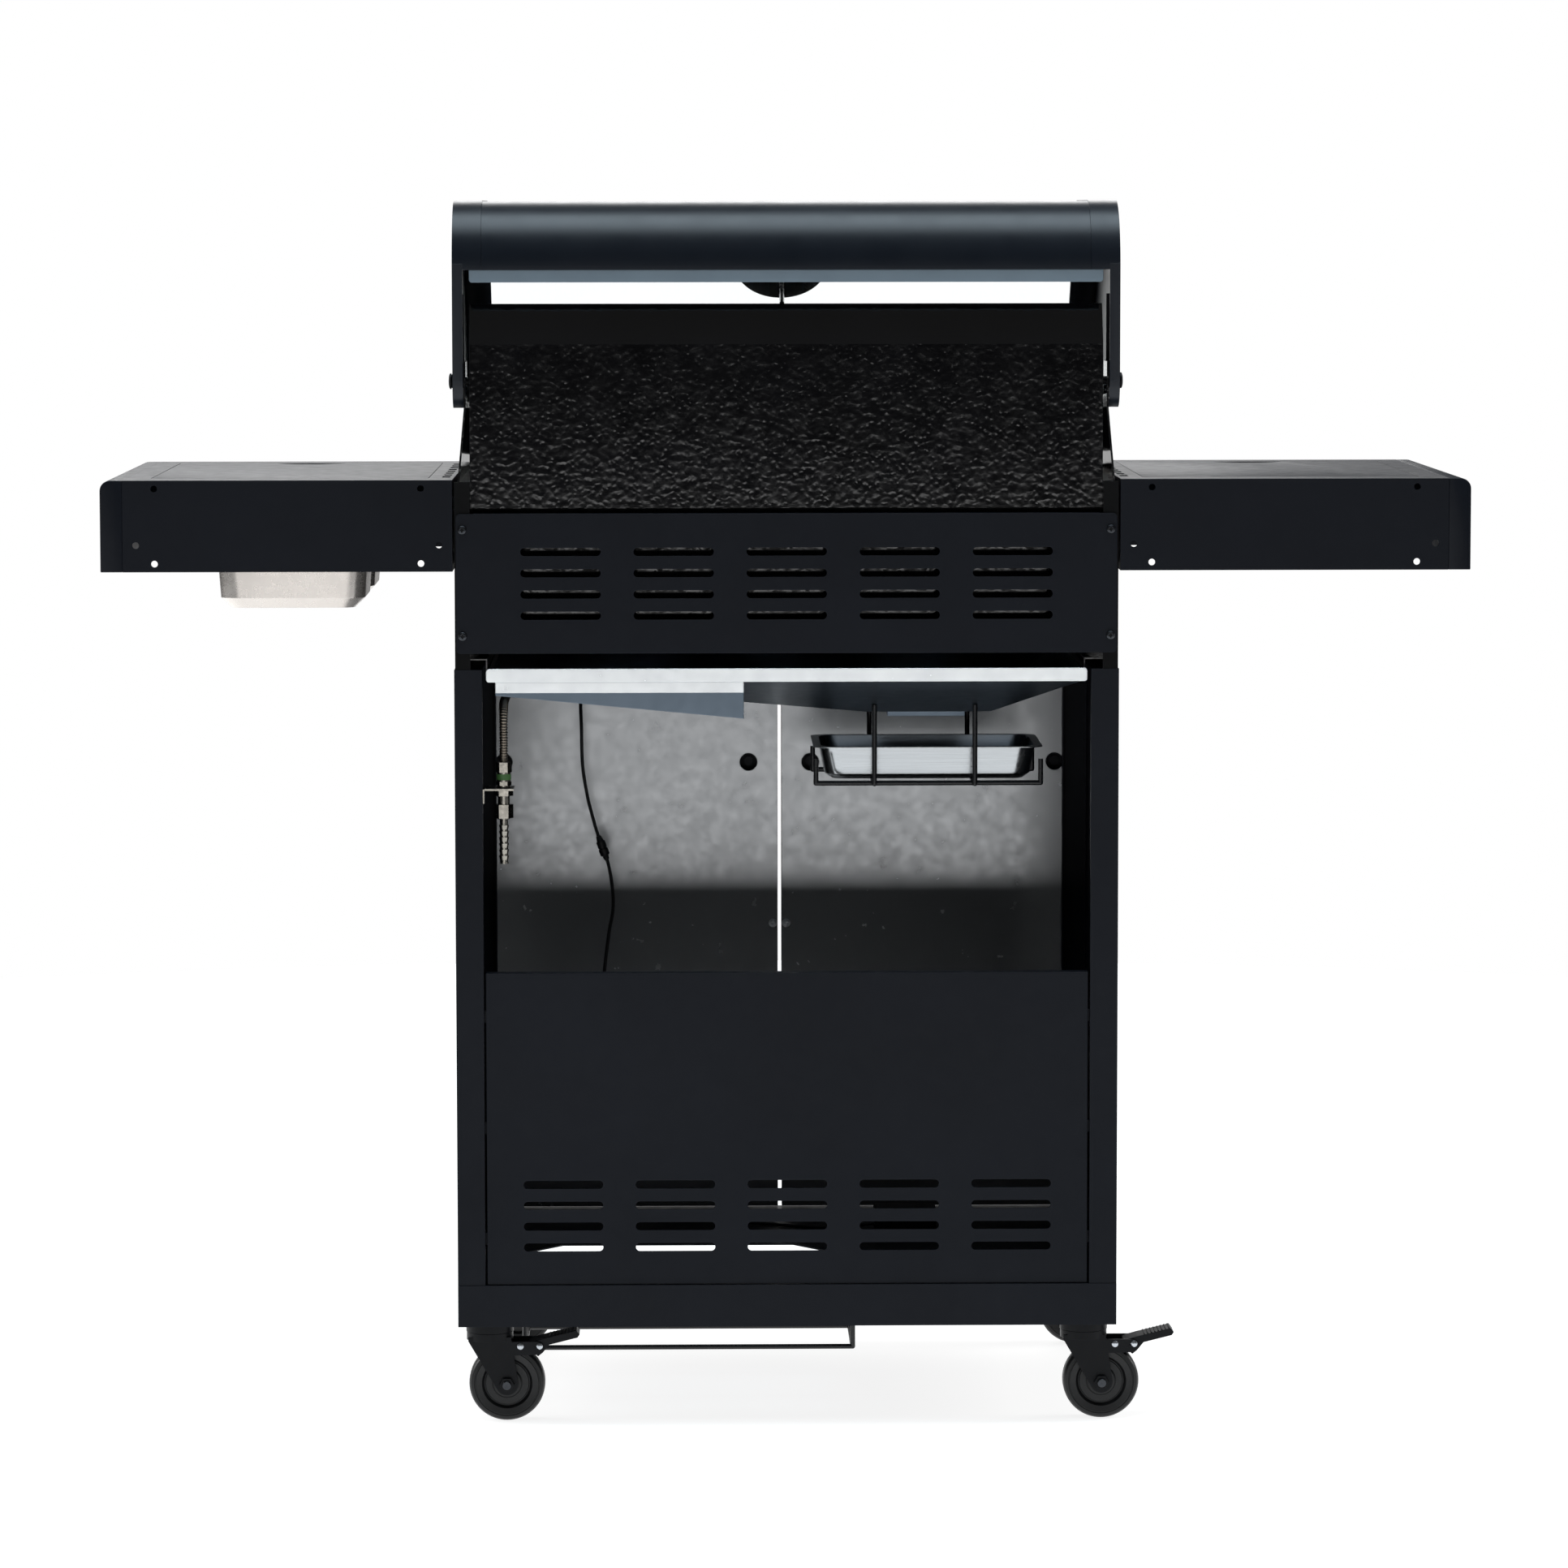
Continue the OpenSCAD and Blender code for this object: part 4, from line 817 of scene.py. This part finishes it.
def make_hose():
    """The corrugated steel hose, along the CAD hose's own line."""
    low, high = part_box("gas_hose")
    x = (low.x + high.x) / 2
    dia = high.x - low.x
    rear_d = REAR_Y - high.y + dia / 2
    end_z = high.z - dia / 2
    line = [at(x, rear_d, low.z)]
    line += quarter(rear_d + HOSE_BEND, HOSE_RUN_Z - HOSE_BEND, HOSE_BEND, 180, 90, x)
    line += quarter(HOSE_RISE_D - HOSE_BEND, HOSE_RUN_Z + HOSE_BEND, HOSE_BEND, -90, 0, x)
    line += quarter(HOSE_RISE_D + HOSE_ELBOW, end_z - HOSE_ELBOW, HOSE_ELBOW, 180, 90, x)
    spans = [(b - a).length for a, b in zip(line, line[1:])]
    total = sum(spans)
    count = int(total / HOSE_PITCH * 4)
    points, radii = [], []
    index, passed = 0, 0.0
    for k in range(count + 1):
        s = total * k / count
        while index < len(spans) - 1 and passed + spans[index] < s:
            passed += spans[index]
            index += 1
        points.append(line[index].lerp(line[index + 1], (s - passed) / spans[index]))
        wave = math.cos(2 * math.pi * s / HOSE_PITCH)
        radii.append(dia / 2 - HOSE_RIDGE + HOSE_RIDGE * wave)
    hose = add_piece("gas_hose_made", swept(bmesh.new(), points, radii, 18),
                     HOSE_STEEL, "body")
    for modifier in list(hose.modifiers):
        hose.modifiers.remove(modifier)
    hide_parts("gas_hose")
    band = turned(bmesh.new(), ring_profile(0.0066, 0.0072, *MARKER_BAND_Z, 0.0002),
                  Vector((x, REAR_Y - rear_d, 0.0)), UP, 40)
    add_piece("inlet_marker_band", band, GREEN_BAND, "body")


# ---------- Casters ----------

def make_wheel(node):
    """A wheel with turned grooves in its sides and a crowned tread."""
    low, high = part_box(node)
    centre = (low + high) / 2
    outer, half_w = (high.z - low.z) / 2, (high.y - low.y) / 2
    tread = 0.012
    face = tread - 0.0008
    side = [(0.0041, half_w), (0.0078, half_w), (0.0082, half_w - 0.0004), (0.0082, 0.0102),
            (0.0135, 0.0102), (0.0142, 0.0095), (0.0150, 0.0088), (0.0212, 0.0088),
            (0.0218, 0.0078), (0.0226, 0.0078), (0.0234, 0.0092), (0.0250, face),
            (0.0310, tread), (0.0314, tread - 0.0008), (0.0322, tread - 0.0008),
            (0.0326, tread - 0.0002), (outer - 0.0022, tread - 0.0006),
            (outer - 0.0008, tread - 0.0022), (outer, tread - 0.0052)]
    profile = side + [(outer + 0.0001, 0)] + [(r, -h) for r, h in reversed(side)]
    profile.append(profile[0])
    wheel = add_piece(node + "_made", turned(bmesh.new(), profile, centre, REARWARD, 72),
                      FINISHES["wheel_black"], BODY_OF[node])
    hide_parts(node)


# The fork's rivets, across and up from the axle
FORK_RIVETS = ((-0.0323, 0.038), (-0.0134, 0.038))


def make_caster_trim(place):
    """Rivets, washers and thread ends on one caster fork."""
    node = "fork_" + place
    body = BODY_OF[node]
    low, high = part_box(node)
    axle = middle("wheel_" + place)
    bright = bmesh.new()
    black = bmesh.new()
    for sign in (-1, 1):
        face = axle + Vector((0, sign * ((high.y - low.y) / 2), 0))
        out = REARWARD * sign
        turned(black, ring_profile(0.0, 0.0042, -0.0006, 0.0012, 0.0004), face, out, 28)
        face_y = axle.y + sign * (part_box("wheel_" + place)[1].y - axle.y + 0.0024)
        for dx, dz in FORK_RIVETS:
            if "rear" in place:
                turned(bright, [(0, 0), (0.0034, 0.0), (0.0032, 0.0007), (0.0022, 0.0013),
                                (0, 0.0015)],
                       Vector((axle.x + dx, face_y, axle.z + dz)), out, 28)
    add_piece(f"axle_ends_{place}", black, DARK_STEEL, body)
    if "rear" in place:
        rivets = add_piece(f"fork_rivets_{place}", bright, FINISHES["zinc"], body)
    else:
        bright.free()


def make_pedal_ribs(place):
    """Raised grip ribs across a brake pedal's tread."""
    node = "pedal_" + place
    low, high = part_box(node)
    bm = bmesh.new()
    width = high.y - low.y
    start = Vector((low.x + 0.0045, 0, high.z - 0.0006))
    lean = math.radians(13.5)
    along = Vector((math.cos(lean), 0, -math.sin(lean)))
    up = Vector((math.sin(lean), 0, math.cos(lean)))
    for k in range(8):
        foot = start + along * (0.0036 * k)
        outline = [(-0.0009, -0.0008), (-0.0006, 0.0007), (0.0, 0.0010), (0.0006, 0.0007),
                   (0.0009, -0.0008)]
        extruded(bm, outline, low.y + 0.0012, low.y + width - 0.0012,
                 lambda u, v, h: Vector((0, h, 0)) + foot + along * u + up * v)
    add_piece(f"pedal_ribs_{place}", bm, FINISHES["caster_black"], BODY_OF[node])


def make_casters():
    for place in ("rear_left", "rear_right", "front_left", "front_right"):
        make_wheel("wheel_" + place)
        make_caster_trim(place)
        if "rear" in place:
            make_pedal_ribs(place)


# ---------- Knobs and dial ----------

def make_knob_trim(number):
    """Grip flutes round a knob and a white pointer line."""
    node = f"knob_{number}"
    low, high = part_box(node)
    centre = (low + high) / 2
    flutes = bmesh.new()
    radius = 0.021
    for k in range(24):
        angle = 2 * math.pi * k / 24
        spoke = Vector((math.cos(angle), 0, math.sin(angle)))
        if abs(spoke.x) < 0.35:
            continue
        line = [centre + spoke * (radius - 0.0002) + FORWARD * h
                for h in (-0.008, -0.006, 0.014, 0.0155)]
        swept(flutes, line, [0.0004, 0.0011, 0.0011, 0.0004], 10)
    add_piece(f"knob_flutes_{number}", flutes, FINISHES["black_plastic"], BODY_OF[node])
    mark = bmesh.new()
    front = low.y
    outline = [(-0.0009, 0.005), (0.0009, 0.005), (0.0009, 0.018), (-0.0009, 0.018)]
    extruded(mark, outline, 0.0, 0.0005,
             lambda u, v, h: Vector((centre.x + u, front - h + 0.0001, centre.z + v)))
    add_piece(f"knob_pointer_{number}", mark, DIAL_WHITE, BODY_OF[node])


def make_dial():
    """The hood thermometer's face: pale dial, plain ticks, a red needle and its lens rim."""
    low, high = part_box("thermometer")
    out = DIAL_OUT
    up = Vector((0, math.sin(DIAL_LEAN), math.cos(DIAL_LEAN)))
    radius = (high.x - low.x) / 2
    foot = Vector((0, REAR_Y - THERMOMETER_D, THERMOMETER_Z)) + out * 0.0105
    face = bmesh.new()
    turned(face, [(0, 0), (radius - 0.0055, 0), (radius - 0.0058, 0.0006), (0, 0.0006)],
           foot, out, 72)
    add_piece("thermometer_face", face, DIAL_WHITE, "hood")
    ink = bmesh.new()
    for k in range(25):
        angle = math.radians(-225 + 270 * k / 24)
        long = 0.008 if k % 4 == 0 else 0.004
        wide = 0.0008 if k % 4 == 0 else 0.0004
        ray = Vector((math.cos(angle), 0, 0)) + up * math.sin(angle)
        across = Vector((-math.sin(angle), 0, 0)) + up * math.cos(angle)
        outline = [(radius - 0.009 - long, -wide), (radius - 0.009, -wide),
                   (radius - 0.009, wide), (radius - 0.009 - long, wide)]
        extruded(ink, outline, 0.0005, 0.0009,
                 lambda u, v, h: foot + ray * u + across * v + out * h)
    add_piece("thermometer_ticks", ink, DIAL_INK, "hood")
    needle = bmesh.new()
    aim = Vector((math.cos(math.radians(205)), 0, 0)) + up * math.sin(math.radians(205))
    side = aim.cross(out)
    outline = [(-0.008, -0.0012), (0.0, -0.0018), (0.03, -0.0004), (0.03, 0.0004),
               (0.0, 0.0018), (-0.008, 0.0012)]
    extruded(needle, outline, 0.0012, 0.0018, lambda u, v, h: foot + aim * u + side * v + out * h)
    turned(needle, [(0, 0.0005), (0.003, 0.0005), (0.003, 0.0022), (0, 0.0024)], foot, out, 32)
    add_piece("thermometer_needle", needle, DIAL_RED, "hood")
    rim = bmesh.new()
    turned(rim, ring_profile(radius - 0.0052, radius + 0.0004, 0.0005, 0.0035, 0.001),
           foot, out, 96)
    bezel = add_piece("thermometer_bezel", rim, FINISHES["stainless"], "hood")


# ---------- Hood edges ----------

# Sides and radii of a hood arm's folded edge
ARM_RIM_X = (0.3139, 0.3238)
ARM_RIM_RADII = (0.026, 0.0242)


def make_arm_rims():
    """The folded edge of each hood arm, carried on round the arm's rounded foot."""
    pivot = frame["record"]["behaviour"]["joints"][0]["pos_m"]
    outer, inner = ARM_RIM_RADII
    rim = bmesh.new()
    outline = arc_points((0, 0), outer, 0, 132, 26) + arc_points((0, 0), inner, 132, 0, 26)
    for sign in (-1, 1):
        extruded(rim, outline, sign * ARM_RIM_X[0], sign * ARM_RIM_X[1],
                 lambda u, v, h: Vector((h, pivot[1] + u, pivot[2] - v)))
    piece = add_piece("hood_arm_rims", rim, FINISHES[SLOTS["hood_ends"]], "hood")


# Rear lip of the hood: half its length, its height range, corner radius and depth range
LIP_HALF = 0.3075
LIP_Z = (1.1230, 1.1350)
LIP_CORNER = 0.003
LIP_D = (0.0061, 0.0077)


def make_rear_lip():
    """The folded lip that shows below the hood's rear edge, with rounded lower corners, painted
    light blue-grey as a highlight.
    """
    low_z, high_z = LIP_Z
    foot = arc_points((LIP_HALF - LIP_CORNER, low_z + LIP_CORNER), LIP_CORNER, 0, -90, 6)
    outline = [(LIP_HALF, high_z)] + foot
    outline += [(-u, v) for u, v in reversed(foot)] + [(-LIP_HALF, high_z)]
    bm = extruded(bmesh.new(), outline, *LIP_D, lambda u, v, h: Vector((u, REAR_Y - h, v)))
    piece = add_piece("hood_rear_lip", bm, HOOD_LIP_HIGHLIGHT, "hood")


def make_all_pieces():
    refine_cad_shapes()
    make_arm_rims()
    make_rear_lip()
    make_fixings()
    make_door_screws()
    make_hose()
    make_casters()
    for number in range(1, 5):
        make_knob_trim(number)
    make_dial()


# ---------- Studio ----------

FLOOR_RADIUS = 3.4
FLOOR_DROP = 0.0005
FLOOR_GLOW = 0.86


def make_floor():
    """A plain pale floor."""
    bm = bmesh.new()
    bmesh.ops.create_circle(bm, cap_ends=True, segments=96, radius=FLOOR_RADIUS)
    mesh = bpy.data.meshes.new("floor")
    bm.to_mesh(mesh)
    bm.free()
    floor = bpy.data.objects.new("floor", mesh)
    floor.location.z = -FLOOR_DROP
    bpy.context.scene.collection.objects.link(floor)
    m = Nodes("floor_finish")
    m.put(m.shader, "Base Color", m.mix(
        m.ranged(m.noise(1.5, 2), 0, 1), srgb(158, 158, 157), srgb(164, 164, 163)))
    m.set(Roughness=0.9, Specular_IOR_Level=0.05, Emission_Color=(1.0, 1.0, 1.0, 1.0),
          Emission_Strength=FLOOR_GLOW)
    mesh.materials.append(m.material)


# Brightness of the surround, as low and high values over a span of the ray's direction
SKY = {"low": 0.03, "high": 0.16, "from_low": 0.2, "from_high": 0.9}
FRONT_WALL = {"low": 0.45, "high": 0.0, "from_low": -0.98, "from_high": -0.8}
# The bright far floor behind the camera: its spread, and its nearer and farther edges
FAR_FLOOR = {"low": 0.0, "high": 3.0, "from_low": 0.9, "from_high": 0.97}
FAR_FLOOR_NEAR = {"low": 0.3, "high": 1.0, "from_low": -0.13, "from_high": -0.1}
FAR_FLOOR_END = {"low": 1.0, "high": 0.0, "from_low": -0.07, "from_high": -0.062}
SEEN_WHITE = (1.0, 1.0, 1.0, 1.0)
SEEN_THROUGH_GLASS = (1.13, 1.14, 1.14, 1.0)


def make_world():
    """White for the eye, and a soft surround for light and reflections."""
    world = bpy.data.worlds.new("studio")
    world.use_nodes = True
    bpy.context.scene.world = world
    m = Nodes("studio", tree=world.node_tree)
    background = world.node_tree.nodes["Background"]
    direction = m.add("SeparateXYZ", {"Vector": output_of(m.add("TexCoord"), "Generated")})
    across, up = output_of(direction, "Y"), output_of(direction, "Z")
    sky = m.ranged(up, **SKY)
    front = m.ranged(across, **FRONT_WALL)
    spread = m.ranged(across, **FAR_FLOOR)
    near, end = m.ranged(up, **FAR_FLOOR_NEAR), m.ranged(up, **FAR_FLOOR_END)
    far_floor = m.combined(m.combined(spread, near, "MULTIPLY"), end, "MULTIPLY")
    surround = m.combined(m.combined(front, sky), far_floor)
    path = m.add("LightPath")
    light = m.mix(output_of(path, "Is Camera Ray"), m.grey(surround), SEEN_WHITE)
    light = m.mix(output_of(path, "Is Transmission Ray"), light, SEEN_THROUGH_GLASS)
    m.put(background, "Color", light)


LIGHT_TARGET = (0, 0, 0.75)
COOL = (0.74, 0.9, 1.0)
WHITE = (1, 1, 1)
# Name, place, size, power and colour of each softbox
SOFTBOXES = (
    ("overhead", (0, 0.3, 3.4), (3.8, 1.0), 34, COOL),
    ("left_side", (-3.4, -0.6, 1.9), (1.4, 2.2), 60, WHITE),
    ("right_side", (3.4, -0.6, 1.9), (1.4, 2.2), 66, WHITE),
    ("front_side", (0.6, -3.4, 2.6), (3.0, 1.6), 50, WHITE),
)
# The ceiling's light: power, colour, spread and lean in degrees
ROOM_POWER = 1.5
ROOM_COLOUR = (0.8, 0.93, 1.0)
ROOM_SPREAD = 44
ROOM_LEAN = -4


def add_softbox(name, place, size, power, colour):
    data = bpy.data.lights.new(name, "AREA")
    data.shape = "RECTANGLE"
    data.size, data.size_y = size
    data.energy = power
    data.color = colour
    lamp = bpy.data.objects.new(name, data)
    lamp.location = place
    lamp.rotation_mode = "QUATERNION"
    aim = Vector(LIGHT_TARGET) - Vector(place)
    lamp.rotation_quaternion = aim.to_track_quat("-Z", "Y")
    bpy.context.scene.collection.objects.link(lamp)


def make_lights():
    """Softboxes above, at each side and in front, and a broad soft light from the ceiling."""
    for softbox in SOFTBOXES:
        add_softbox(*softbox)
    sun = bpy.data.lights.new("room", "SUN")
    sun.energy = ROOM_POWER
    sun.color = ROOM_COLOUR
    sun.angle = math.radians(ROOM_SPREAD)
    room = bpy.data.objects.new("room", sun)
    room.rotation_euler = (math.radians(ROOM_LEAN), 0, 0)
    bpy.context.scene.collection.objects.link(room)


bpy.context.scene.view_settings.view_transform = "Standard"
make_camera()
make_lead()
make_all_pieces()
make_floor()
make_world()
make_lights()
